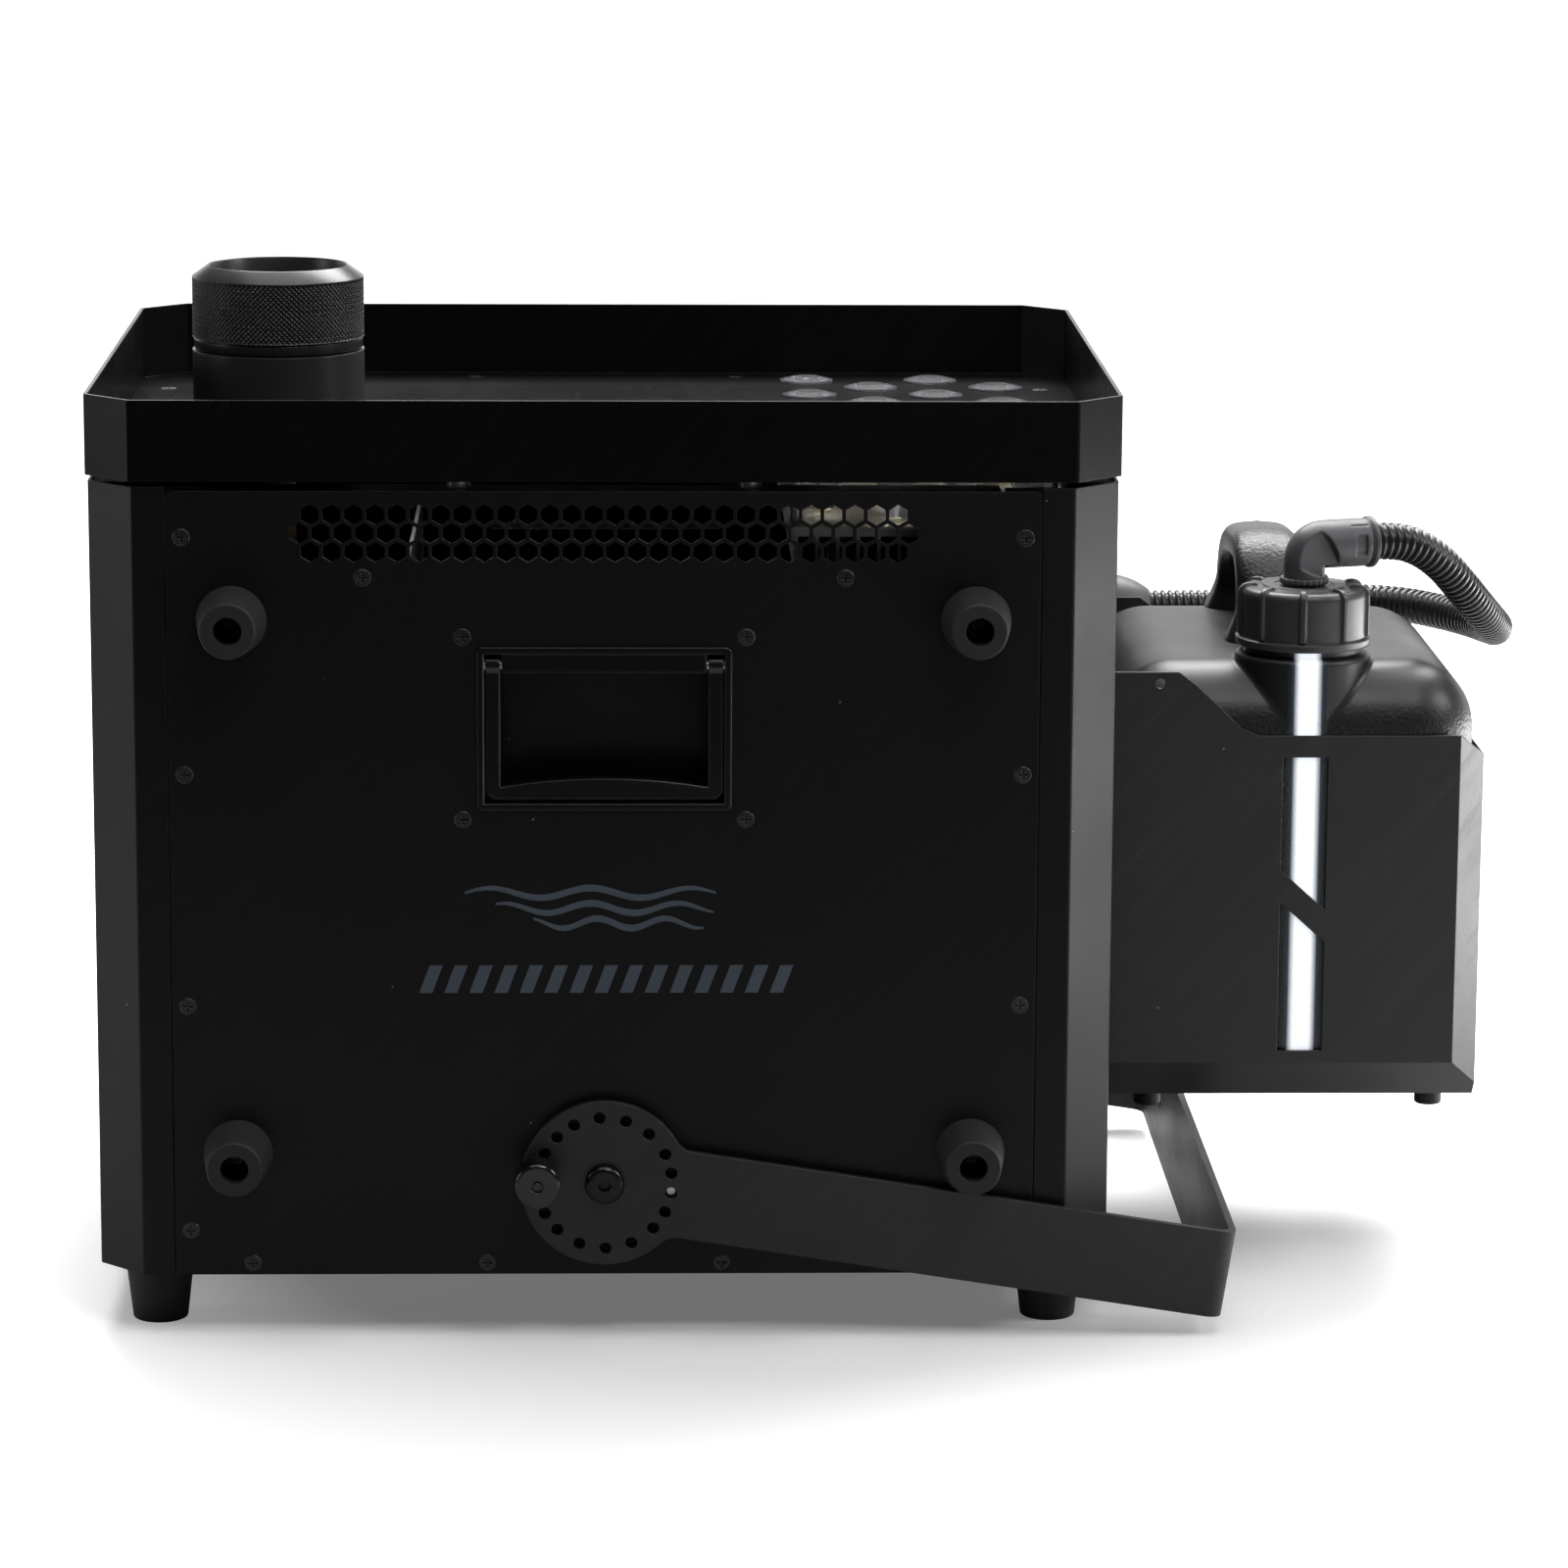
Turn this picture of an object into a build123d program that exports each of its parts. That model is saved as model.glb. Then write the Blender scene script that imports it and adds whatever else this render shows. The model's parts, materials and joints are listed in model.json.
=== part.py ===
"""Fog machine with a top LED array, a round fog nozzle, a tilt bracket and a side fluid canister.

Millimetres, +Z up. The origin is the middle of the object's footprint, on the surface it stands on.
The casing is drawn about its own upright centre line: x to the right, y to the rear, z from its
underside. The helper planes below place that frame in the object's frame.
"""
import os
from math import cos, pi, radians, sin, sqrt, tan

from build123d import *

os.makedirs("parts", exist_ok=True)

# ---------------------------------------------------------------- driving dimensions
guard_w = 435.0            # top tray, outside
guard_d = 343.0
guard_cut = 19.8           # 45 degree corners
guard_h = 34.0
body_inset = 1.1           # casing walls stand this far inside the tray's outline
shell_h = 339.5
panel_h = 338.0
tray_z = 342.0             # underside of the tray above the casing's underside
sheet = 1.5
bend_r = 2.0
seam_x = 183.0             # half the width of the front and rear panels
seam_gap = 0.5
lap = 16.0                 # width of the flanges that the panels are screwed to
slack = 0.2                # between sheets that lie side by side

foot_h = 27.0
foot_base_r = 14.85
foot_tip_r = 11.75
foot_hole_r = 5.95
base_foot_x = 192.0
base_foot_inset = 30.0     # from the casing's front and rear faces
side_foot_x = 155.8
side_foot_z = (53.3, 283.2)

screw_head_r = 3.7         # M4 countersunk
screw_r = 1.9
screw_len = 9.0
screw_clear = 0.05
flange_hole_r = 2.6

handle_z = 237.3
handle_w = 107.0
handle_h = 69.8
handle_lip = 3.0
handle_depth = 26.0
handle_screw = (119.0, 78.0)
bail_arm = 6.2
bail_t = 6.0
bail_clear = 0.6
pin_r = 2.0
pin_clear = 0.05

vent_z = 320.2
vent_pitch = 9.09
vent_across = 7.55
vent_count = 29

pivot_z = 41.9
arm_len = 270.8            # pivot to the outer face of the crosspiece
arm_drop = 8.9             # degrees below level, at rest
bar_w = 38.2
bar_t = 3.3
disc_r = 35.8
bar_bend = 8.0
cross_hole_y = 114.0        # two small holes in the crosspiece
cross_hole_r = 2.1
bracket_gap = 3.9          # between the casing and the arm
ring_r = 28.6
ring_hole_r = 2.6
pivot_r = 4.0
bolt_head_r = 8.4
bolt_head_h = 4.5
side_play = 0.3            # between a turning piece and what holds it sideways
knob_r = 9.7
knob_l = 15.0
knob_reach = 22.3          # knob's end beyond the arm's outer face

nozzle_x = -144.5
nozzle_r = 37.9
nozzle_bore = 28.0
collar_bore = 30.25
collar_z = (377.0, 382.1, 408.4, 413.7)
neck_r = 33.2

led_x = (94.0, 152.0)
led_shift = 29.0
led_rows = 12
led_pitch = 25.5
lens_r = 12.45
lens_stem_r = 10.0
board_z = 319.4
board_t = 1.6

cradle_reach = 167.0       # from the casing's wall
cradle_y = -101.5          # front face
cradle_d = 196.0
cradle_z = 56.5
cradle_top = 221.0
cradle_tab_top = 249.0
cradle_cut = 12.0
cradle_bevel = 18.5
slot_x = 87.6              # slot centre, from the casing's wall
slot_w = 19.6

can_gap = 1.5
can_w = 161.0
can_h = 191.5
can_r = 30.0
can_wall = 2.0
neck_x = 88.6              # neck axis, from the casing's wall
neck_y = -71.5
cap_r = 29.4
cap_h = 26.0
cap_z = 257.0
can_neck_r = 25.5
elbow_z = 300.0
elbow_r = 9.0
barrel_r = 10.8
barrel_end = (30.0, 10.0)  # from the neck's axis, to the right and to the rear
barrel_ring_r = 11.7
barrel_ring_w = 3.0

hose_r = 8.2
gland_y = 112.0
gland_z = 241.0
gland_r = 15.5
gland_reach = 37.6

panel_side_w = 130.0       # control plate on the left wall
panel_side_h = 200.0
panel_side_z = 150.0
socket_proud = 4.0

# ---------------------------------------------------------------- derived values and planes
body_w = guard_w - 2 * body_inset
body_d = guard_d - 2 * body_inset
wall_x = body_w / 2
front_reach = body_d / 2 + bracket_gap + bar_t + knob_reach
rear_reach = body_d / 2 + bracket_gap + bar_t + side_play + bolt_head_h
body_x = (wall_x + socket_proud - (wall_x + cradle_reach)) / 2
body_y = (front_reach - rear_reach) / 2
flange_top = panel_h
top_flange_w = 19.0
inner_cut = guard_cut - sheet * (2 - sqrt(2))


def level(z):
    """Horizontal plane at height z above the casing's underside."""
    return Plane(origin=(body_x, body_y, foot_h + z), x_dir=(1, 0, 0), z_dir=(0, 0, 1))


def across(y):
    """Upright plane facing the front, y behind the casing's centre line."""
    return Plane(origin=(body_x, body_y + y, foot_h), x_dir=(1, 0, 0), z_dir=(0, -1, 0))


def facing(side, depth=0.0):
    """Plane of the front or rear face, depth inside it, with its normal outwards."""
    if side == "front":
        return across(-body_d / 2 + depth)
    return Plane(
        origin=(body_x, body_y + body_d / 2 - depth, foot_h), x_dir=(-1, 0, 0), z_dir=(0, 1, 0),
    )


def right_wall(x=0.0):
    """Plane parallel to the right wall, x outside it: local x is to the rear, local y is up."""
    return Plane(origin=(body_x + wall_x + x, body_y, foot_h), x_dir=(0, 1, 0), z_dir=(1, 0, 0))


def left_wall(x=0.0):
    """Plane parallel to the left wall, x outside it: local x is to the front, local y is up."""
    return Plane(origin=(body_x - wall_x - x, body_y, foot_h), x_dir=(0, -1, 0), z_dir=(-1, 0, 0))


def upright(x, y):
    """Plane through the upright axis at x, y: local x is the radius, local y is the height."""
    return Plane(origin=(body_x + x, body_y + y, foot_h), x_dir=(1, 0, 0), z_dir=(0, -1, 0))


def upright_axis(x, y):
    """Vertical axis at x, y of the casing."""
    return Axis((body_x + x, body_y + y, foot_h), (0, 0, 1))


def chamfered(width, depth, cut, radius):
    """Rectangle with 45 degree corners, its bends rounded."""
    with BuildSketch() as shape:
        Rectangle(width, depth)
        chamfer(shape.vertices(), cut)
        fillet(shape.vertices(), radius)
    return shape.sketch


body_outside = chamfered(body_w, body_d, guard_cut, bend_r)
body_inside = chamfered(body_w - 2 * sheet, body_d - 2 * sheet, inner_cut, bend_r - sheet)
guard_outside = chamfered(guard_w, guard_d, guard_cut, bend_r)
guard_inside = chamfered(guard_w - 2 * sheet, guard_d - 2 * sheet, inner_cut, bend_r - sheet)

side_screws = [
    (side * (seam_x - lap / 2 + 1.2), z)
    for side in (-1, 1)
    for z in (19.5, 117.6, 217.5, 318.4)
]
bottom_screws = [(x, 4.9) for x in (-150.0, -50.0, 50.0, 150.0)]
top_screws = [(-100.9, 301.4), (100.9, 301.4)]
handle_screws = [
    (sx * handle_screw[0] / 2, handle_z + sz * handle_screw[1] / 2)
    for sx in (-1, 1)
    for sz in (-1, 1)
]
foot_spots = [(sx * side_foot_x, z) for sx in (-1, 1) for z in side_foot_z]
tray_screws_at = [(sx * 61.0, sy * (body_d / 2 - 14.0)) for sx in (-1, 1) for sy in (-1, 1)]
tray_screws_at += [(sx * (wall_x - 14.5), sy * 112.0) for sx in (-1, 1) for sy in (-1, 1)]

# ---------------------------------------------------------------- fasteners and feet, as patterns
with BuildPart() as countersunk_screw:
    with BuildSketch(Plane.XZ):
        head_depth = screw_head_r - screw_r
        with BuildLine():
            Polyline(
                (0, 0), (screw_head_r, 0), (screw_r, -head_depth), (screw_r, -screw_len),
                (0, -screw_len), close=True,
            )
        make_face()
    revolve(axis=Axis.Z)
    with BuildSketch(Plane.XY):
        Rectangle(4.2, 0.9)
        Rectangle(0.9, 4.2)
    extrude(amount=-1.0, mode=Mode.SUBTRACT)

with BuildPart() as rubber_foot:
    with BuildSketch(Plane.XY):
        Circle(foot_base_r)
    with BuildSketch(Plane.XY.offset(foot_h)):
        Circle(foot_tip_r)
    loft()
    fillet(rubber_foot.edges().group_by(Axis.Z)[-1], 1.2)
    with BuildSketch(Plane.XY.offset(foot_h)):
        Circle(foot_hole_r)
    extrude(amount=-(foot_h - 6.0), mode=Mode.SUBTRACT)
    with BuildSketch(Plane.XY):
        Circle(screw_r + screw_clear)
    extrude(amount=foot_h, mode=Mode.SUBTRACT)

with BuildPart() as foot_screw:
    with BuildSketch(Plane.XY.offset(6.0)):
        Circle(5.2)
    extrude(amount=1.0)
    with BuildSketch(Plane.XY.offset(7.0)):
        Circle(3.6)
    extrude(amount=2.6)
    fillet(foot_screw.edges().group_by(Axis.Z)[-1], 1.2)
    with BuildSketch(Plane.XY.offset(9.6)):
        Rectangle(3.8, 0.9)
        Rectangle(0.9, 3.8)
    extrude(amount=-1.2, mode=Mode.SUBTRACT)
    with BuildSketch(Plane.XY.offset(6.0)):
        Circle(screw_r)
    extrude(amount=-(6.0 + 5.0))

# ---------------------------------------------------------------- casing
floor_flange_w = 2 * (seam_x - lap - 1.0)
floor_flange_h = 14.0
with BuildPart() as base_tray:
    with BuildSketch(level(0)):
        add(
            chamfered(body_w - 2 * sheet - 2 * slack, body_d - 4 * sheet - 4 * slack, inner_cut, bend_r),
        )
        Rectangle(floor_flange_w, body_d - 2 * sheet - 2 * slack)
    extrude(amount=sheet)
    with BuildSketch(level(0)):
        for edge in (-1, 1):
            with Locations((0, edge * (body_d / 2 - sheet - slack - sheet / 2))):
                Rectangle(floor_flange_w, sheet)
            with Locations((edge * (wall_x - sheet - slack - sheet / 2), 0)):
                Rectangle(sheet, body_d - 2 * guard_cut - 20.0)
    extrude(amount=floor_flange_h)
    for side in ("front", "rear"):
        with BuildSketch(facing(side)):
            with Locations(*bottom_screws):
                Circle(flange_hole_r)
        extrude(amount=-3 * sheet, mode=Mode.SUBTRACT)
    with BuildSketch(level(0)):
        for sx in (-1, 1):
            for sy in (-1, 1):
                with Locations((sx * base_foot_x, sy * (body_d / 2 - base_foot_inset))):
                    Circle(screw_r + screw_clear)
    extrude(amount=sheet, mode=Mode.SUBTRACT)
base_tray.part.label = "base_tray"
export_step(base_tray.part, "parts/base_tray.step")

top_flange_l = body_d - 2 * guard_cut - 12.0
joggle = sheet + slack
for side, sign in (("left", -1), ("right", 1)):
    with BuildPart() as shell:
        with BuildSketch(level(0)):
            add(body_outside)
            add(body_inside, mode=Mode.SUBTRACT)
            Rectangle(2 * seam_x + seam_gap, body_d + sheet, mode=Mode.SUBTRACT)
            with Locations((-sign * wall_x, 0)):
                Rectangle(2 * wall_x, body_d + sheet, mode=Mode.SUBTRACT)
            for edge in (-1, 1):
                with Locations((
                    sign * (seam_x + seam_gap / 2 + sheet / 2 - lap / 2),
                    edge * (body_d / 2 - joggle - sheet / 2),
                )):
                    Rectangle(lap + sheet, sheet)
                with Locations((
                    sign * (seam_x + seam_gap / 2 + sheet / 2),
                    edge * (body_d / 2 - (joggle + sheet) / 2),
                )):
                    Rectangle(sheet, joggle + sheet)
        extrude(amount=shell_h)
        with BuildSketch(level(flange_top)):
            with Locations((sign * (wall_x - top_flange_w / 2 - sheet / 2), 0)):
                Rectangle(top_flange_w, top_flange_l)
        extrude(amount=-sheet)
        with BuildSketch(level(flange_top)):
            with Locations(*[spot for spot in tray_screws_at if spot[0] * sign > wall_x / 2]):
                Circle(screw_r + screw_clear)
        extrude(amount=-sheet, mode=Mode.SUBTRACT)
        for end in ("front", "rear"):
            with BuildSketch(facing(end)):
                with Locations(*side_screws):
                    Circle(flange_hole_r)
            extrude(amount=-3 * sheet, mode=Mode.SUBTRACT)
        if side == "right":
            with BuildSketch(right_wall()):
                with Locations((gland_y, gland_z)):
                    Circle(10.1)
                with Locations(*[
                    (y, z)
                    for y in (cradle_y + 9.0, cradle_y + cradle_d - 9.0)
                    for z in (100.0, 190.0)
                ]):
                    Circle(screw_r + screw_clear)
            extrude(amount=-sheet, mode=Mode.SUBTRACT)
        else:
            with BuildSketch(left_wall()):
                with Locations((0, panel_side_z)):
                    Rectangle(panel_side_w - 24.0, panel_side_h - 24.0)
                    with GridLocations(panel_side_w - 12.0, panel_side_h - 12.0, 2, 2):
                        Circle(screw_r + screw_clear)
            extrude(amount=-sheet, mode=Mode.SUBTRACT)
    shell.part.label = f"{side}_shell"
    export_step(shell.part, f"parts/{side}_shell.step")

vent_holes = []
for row in (-1, 0, 1):
    holes_in_row = vent_count - abs(row)
    for i in range(holes_in_row):
        vent_holes.append(
            ((i - (holes_in_row - 1) / 2) * vent_pitch, vent_z + row * vent_pitch * sin(radians(60))),
        )

for side in ("front", "rear"):
    with BuildPart() as panel:
        with BuildSketch(facing(side)) as face:
            Rectangle(2 * seam_x - seam_gap, panel_h, align=(Align.CENTER, Align.MIN))
            fillet(face.vertices().group_by(Axis.Y)[-1], 3.0)
            with Locations((0, handle_z)):
                Rectangle(handle_w - 2.0, handle_h - 2.0, mode=Mode.SUBTRACT)
            with Locations((0, pivot_z)):
                Circle(pivot_r + 0.1, mode=Mode.SUBTRACT)
            with Locations(*vent_holes):
                RegularPolygon(vent_across / 2, 6, major_radius=False, rotation=30, mode=Mode.SUBTRACT)
            if side == "front":
                with Locations(*foot_spots):
                    Circle(screw_r + screw_clear, mode=Mode.SUBTRACT)
        extrude(amount=-sheet)
        with BuildSketch(level(flange_top)):
            with Locations((0, (-1 if side == "front" else 1) * (body_d / 2 - top_flange_w / 2))):
                Rectangle(floor_flange_w, top_flange_w)
        extrude(amount=-sheet)
        with BuildSketch(level(flange_top)):
            with Locations(*tray_screws_at):
                Circle(screw_r + screw_clear)
        extrude(amount=-sheet, mode=Mode.SUBTRACT)
        with Locations(facing(side)):
            with Locations(*(side_screws + bottom_screws + top_screws + handle_screws)):
                CounterSinkHole(
                    screw_r + screw_clear, screw_head_r + screw_clear, depth=sheet + 1.0,
                    counter_sink_angle=90,
                )
    panel.part.label = f"{side}_panel"
    export_step(panel.part, f"parts/{side}_panel.step")

with BuildPart() as panel_screws:
    for side in ("front", "rear"):
        with Locations(facing(side)):
            with Locations(*(side_screws + bottom_screws + top_screws + handle_screws)):
                add(countersunk_screw.part)
panel_screws.part.label = "panel_screws"
export_step(panel_screws.part, "parts/panel_screws.step")

# ---------------------------------------------------------------- top tray
led_spots = []
for row in range(led_rows):
    row_y = (row - (led_rows - 1) / 2) * led_pitch
    row_shift = 0.0 if row % 2 else led_shift
    led_spots += [(x + row_shift, row_y) for x in led_x]

with BuildPart() as top_tray:
    with BuildSketch(level(tray_z)):
        add(guard_outside)
    extrude(amount=guard_h)
    with BuildSketch(level(tray_z + sheet)):
        add(guard_inside)
    extrude(amount=guard_h, mode=Mode.SUBTRACT)
    with BuildSketch(level(tray_z)):
        with Locations((nozzle_x, 0)):
            Circle(neck_r + slack)
        with Locations(*led_spots):
            Circle(lens_stem_r + slack)
    extrude(amount=sheet, mode=Mode.SUBTRACT)
    with Locations(level(tray_z + sheet)):
        with Locations(*tray_screws_at):
            CounterSinkHole(
                screw_r + screw_clear, screw_head_r + screw_clear, depth=sheet + 1.0,
                counter_sink_angle=90,
            )
top_tray.part.label = "top_tray"
export_step(top_tray.part, "parts/top_tray.step")

spacer_h = tray_z - flange_top
with BuildPart() as tray_spacers:
    with BuildSketch(level(flange_top)):
        with Locations(*tray_screws_at):
            Circle(5.0)
            Circle(flange_hole_r, mode=Mode.SUBTRACT)
    extrude(amount=spacer_h)
tray_spacers.part.label = "tray_spacers"
export_step(tray_spacers.part, "parts/tray_spacers.step")

with BuildPart() as tray_screws:
    with Locations(level(tray_z + sheet)):
        with Locations(*tray_screws_at):
            add(countersunk_screw.part)
tray_screws.part.label = "tray_screws"
export_step(tray_screws.part, "parts/tray_screws.step")

# ---------------------------------------------------------------- LED array
lens_top = tray_z + sheet
chip_h = 1.6
with BuildPart() as led_lens:
    with BuildSketch(Plane.XZ):
        with BuildLine():
            Line((0, 2.4), (lens_r - 6.0, 2.4))
            Line((lens_r - 6.0, 2.4), (lens_r, 1.0))
            Line((lens_r, 1.0), (lens_r, 0.0))
            Line((lens_r, 0.0), (lens_stem_r, 0.0))
            Line((lens_stem_r, 0.0), (lens_stem_r, -sheet))
            Line((lens_stem_r, -sheet), (4.0, board_z + board_t + chip_h + 0.4 - lens_top))
            Line(
                (4.0, board_z + board_t + chip_h + 0.4 - lens_top),
                (0, board_z + board_t + chip_h + 0.4 - lens_top),
            )
            Line((0, board_z + board_t + chip_h + 0.4 - lens_top), (0, 2.4))
        make_face()
    revolve(axis=Axis.Z)

with BuildPart() as led_lenses:
    with Locations(level(lens_top)):
        with Locations(*led_spots):
            add(led_lens.part)
led_lenses.part.label = "led_lenses"
export_step(led_lenses.part, "parts/led_lenses.step")

board_x = sum(led_x) / 2 + led_shift / 2
board_w = led_x[1] - led_x[0] + led_shift + 34.0
board_d = led_rows * led_pitch + 6.0
post_spots = [(board_x + sx * (board_w / 2 - 4.0), y) for sx in (-1, 1) for y in (-142.0, 0.0, 142.0)]
with BuildPart() as led_board:
    with BuildSketch(level(board_z)):
        with Locations((board_x, 0)):
            Rectangle(board_w, board_d)
        with Locations(*post_spots):
            Circle(1.6, mode=Mode.SUBTRACT)
    extrude(amount=board_t)
led_board.part.label = "led_board"
export_step(led_board.part, "parts/led_board.step")

with BuildPart() as led_chips:
    with BuildSketch(level(board_z + board_t)):
        with Locations(*led_spots):
            Rectangle(5.0, 5.0)
    extrude(amount=chip_h)
led_chips.part.label = "led_chips"
export_step(led_chips.part, "parts/led_chips.step")

with BuildPart() as led_standoffs:
    with BuildSketch(level(board_z + board_t)):
        with Locations(*post_spots):
            Circle(2.6)
    extrude(amount=tray_z - board_z - board_t)
led_standoffs.part.label = "led_standoffs"
export_step(led_standoffs.part, "parts/led_standoffs.step")

sink_base = 4.0
fin_h = 16.0
fin_t = 1.6
fin_count = 14
sink_w = board_w - 6.0
with BuildPart() as led_heatsink:
    with BuildSketch(across(0)):
        with Locations((board_x, board_z - sink_base / 2)):
            Rectangle(sink_w, sink_base)
        for i in range(fin_count):
            with Locations(
                (board_x + (i / (fin_count - 1) - 0.5) * (sink_w - fin_t), board_z - sink_base - fin_h / 2),
            ):
                Rectangle(fin_t, fin_h)
    extrude(amount=(board_d - 16.0) / 2, both=True)
led_heatsink.part.label = "led_heatsink"
export_step(led_heatsink.part, "parts/led_heatsink.step")

fan_size = 80.0
fan_t = 25.0
fan_bore_r = 38.0
fan_hub_r = 17.0
fan_blades = 7
fan_shaft_r = 1.5
fan_y = (-80.0, 80.0)
fan_z = board_z - sink_base - fin_h - fan_t
strut_t = 3.0
with BuildPart() as fan_frames:
    with BuildSketch(level(fan_z)):
        with Locations(*[(board_x, y) for y in fan_y]):
            RectangleRounded(fan_size, fan_size, 6.0)
            Circle(fan_bore_r, mode=Mode.SUBTRACT)
    extrude(amount=fan_t)
    with BuildSketch(level(fan_z)):
        with Locations(*[(board_x, y) for y in fan_y]):
            Rectangle(2 * fan_bore_r + 2.0, 4.0)
            Rectangle(4.0, 2 * fan_bore_r + 2.0)
            Circle(fan_hub_r)
    extrude(amount=strut_t)
    with BuildSketch(level(fan_z)):
        with Locations(*[(board_x, y) for y in fan_y]):
            Circle(fan_shaft_r + pin_clear)
    extrude(amount=strut_t, mode=Mode.SUBTRACT)
fan_frames.part.label = "fan_frames"
export_step(fan_frames.part, "parts/fan_frames.step")

for fan_name, y in (("front_fan_rotor", fan_y[0]), ("rear_fan_rotor", fan_y[1])):
    with BuildPart() as rotor:
        with BuildSketch(level(fan_z + strut_t + 1.0)):
            with Locations((board_x, y)):
                Circle(fan_hub_r)
        extrude(amount=fan_t - strut_t - 3.0)
        with BuildSketch(level(fan_z)):
            with Locations((board_x, y)):
                Circle(fan_shaft_r)
        extrude(amount=strut_t + 2.0)
        for i in range(fan_blades):
            turn = 360.0 * i / fan_blades
            out = (cos(radians(turn)), sin(radians(turn)), 0)
            blade_plane = Plane(
                origin=(body_x + board_x, body_y + y, foot_h + fan_z + fan_t / 2 + 0.5),
                x_dir=(-out[1], out[0], 0),
                z_dir=out,
            ).offset(fan_hub_r - 1.5)
            with BuildSketch(blade_plane):
                Rectangle(20.0, 1.6, rotation=38)
            extrude(amount=fan_bore_r - 1.2 - fan_hub_r + 1.5)
    rotor.part.label = fan_name
    export_step(rotor.part, f"parts/{fan_name}.step")

# ---------------------------------------------------------------- flip handles, front and rear
lip_proud = 1.2
cup_in_w = handle_w - 2.0
cup_in_h = handle_h - 2.0
frame_w = cup_in_w - 2 * slack
frame_h = cup_in_h - 2 * slack
mouth_w = handle_w - 2 * handle_lip
mouth_h = handle_h - 2 * handle_lip
frame_depth = 8.0
bar_h = 8.0
bar_half = mouth_w / 2 - 2 * bail_clear - bail_arm - 0.2
pin_z = handle_z + mouth_h / 2 - 5.2
pin_depth = 2.9
with BuildPart() as handle_frames:
    for side in ("front", "rear"):
        with BuildSketch(facing(side)):
            with Locations((0, handle_z)):
                RectangleRounded(handle_w, handle_h, 2.7)
        extrude(amount=lip_proud)
        with BuildSketch(facing(side)):
            with Locations((0, handle_z)):
                Rectangle(frame_w, frame_h)
        extrude(amount=-frame_depth)
        with BuildSketch(facing(side, -lip_proud)):
            with Locations((0, handle_z)):
                Rectangle(mouth_w, mouth_h)
        extrude(amount=-(frame_depth + lip_proud), mode=Mode.SUBTRACT)
        with BuildSketch(facing(side)):
            with Locations((0, handle_z + mouth_h / 2 - bar_h / 2)):
                Rectangle(2 * bar_half, bar_h + 0.4)
        extrude(amount=-frame_depth + 1.0)
        pin_plane = facing(side, pin_depth)
        with BuildSketch(
            Plane(origin=pin_plane.origin + Vector(0, 0, pin_z), x_dir=(0, 1, 0), z_dir=(1, 0, 0)),
        ):
            Circle(pin_r + pin_clear)
        extrude(amount=frame_w / 2 + 1.0, both=True, mode=Mode.SUBTRACT)
handle_frames.part.label = "handle_frames"
export_step(handle_frames.part, "parts/handle_frames.step")

cup_wall = 1.5
with BuildPart() as handle_cups:
    for side in ("front", "rear"):
        with BuildSketch(facing(side, sheet)):
            with Locations((0, handle_z)):
                RectangleRounded(handle_screw[0] + 12.0, handle_screw[1] + 12.0, 3.0)
        extrude(amount=-cup_wall)
        with BuildSketch(facing(side, sheet)):
            with Locations((0, handle_z)):
                Rectangle(cup_in_w + 2 * cup_wall, cup_in_h + 2 * cup_wall)
        extrude(amount=-(handle_depth - sheet))
        with BuildSketch(facing(side, sheet)):
            with Locations((0, handle_z)):
                Rectangle(cup_in_w, cup_in_h)
        extrude(amount=-(handle_depth - sheet - cup_wall), mode=Mode.SUBTRACT)
        with BuildSketch(facing(side, sheet)):
            with Locations(*handle_screws):
                Circle(flange_hole_r)
        extrude(amount=-cup_wall, mode=Mode.SUBTRACT)
handle_cups.part.label = "handle_cups"
export_step(handle_cups.part, "parts/handle_cups.step")

with BuildPart() as handle_pins:
    for side in ("front", "rear"):
        pin_plane = facing(side, pin_depth)
        with BuildSketch(
            Plane(origin=pin_plane.origin + Vector(0, 0, pin_z), x_dir=(0, 1, 0), z_dir=(1, 0, 0)),
        ):
            Circle(pin_r)
        extrude(amount=frame_w / 2, both=True)
handle_pins.part.label = "handle_pins"
export_step(handle_pins.part, "parts/handle_pins.step")

bail_out = mouth_w / 2 - bail_clear
bail_low = handle_z - mouth_h / 2 + 1.6
bail_eye = 4.1
grip_end = 5.3
grip_mid = 9.0
for side in ("front", "rear"):
    with BuildPart() as bail:
        with BuildSketch(facing(side, pin_depth - bail_t / 2)):
            with BuildLine():
                inner = bail_out - bail_arm
                Polyline(
                    (-inner, pin_z), (-bail_out, pin_z), (-bail_out, bail_low + 3.0),
                    (-bail_out + 3.0, bail_low), (bail_out - 3.0, bail_low),
                    (bail_out, bail_low + 3.0), (bail_out, pin_z), (inner, pin_z),
                    (inner, bail_low + grip_end),
                )
                ThreePointArc(
                    (inner, bail_low + grip_end), (0, bail_low + grip_mid),
                    (-inner, bail_low + grip_end),
                )
                Line((-inner, bail_low + grip_end), (-inner, pin_z))
            make_face()
        extrude(amount=-bail_t)
        for end in (-1, 1):
            eye_origin = facing(side, pin_depth).origin + Vector(end * (bail_out - bail_arm), 0, pin_z)
            eye_plane = Plane(origin=eye_origin, x_dir=(0, 1, 0), z_dir=(end, 0, 0))
            with BuildSketch(eye_plane):
                Circle(bail_eye)
            extrude(amount=bail_arm)
            with BuildSketch(eye_plane):
                Circle(pin_r + pin_clear)
            extrude(amount=bail_arm, mode=Mode.SUBTRACT)
    bail.part.label = f"{side}_handle_bail"
    export_step(bail.part, f"parts/{side}_handle_bail.step")

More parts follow.
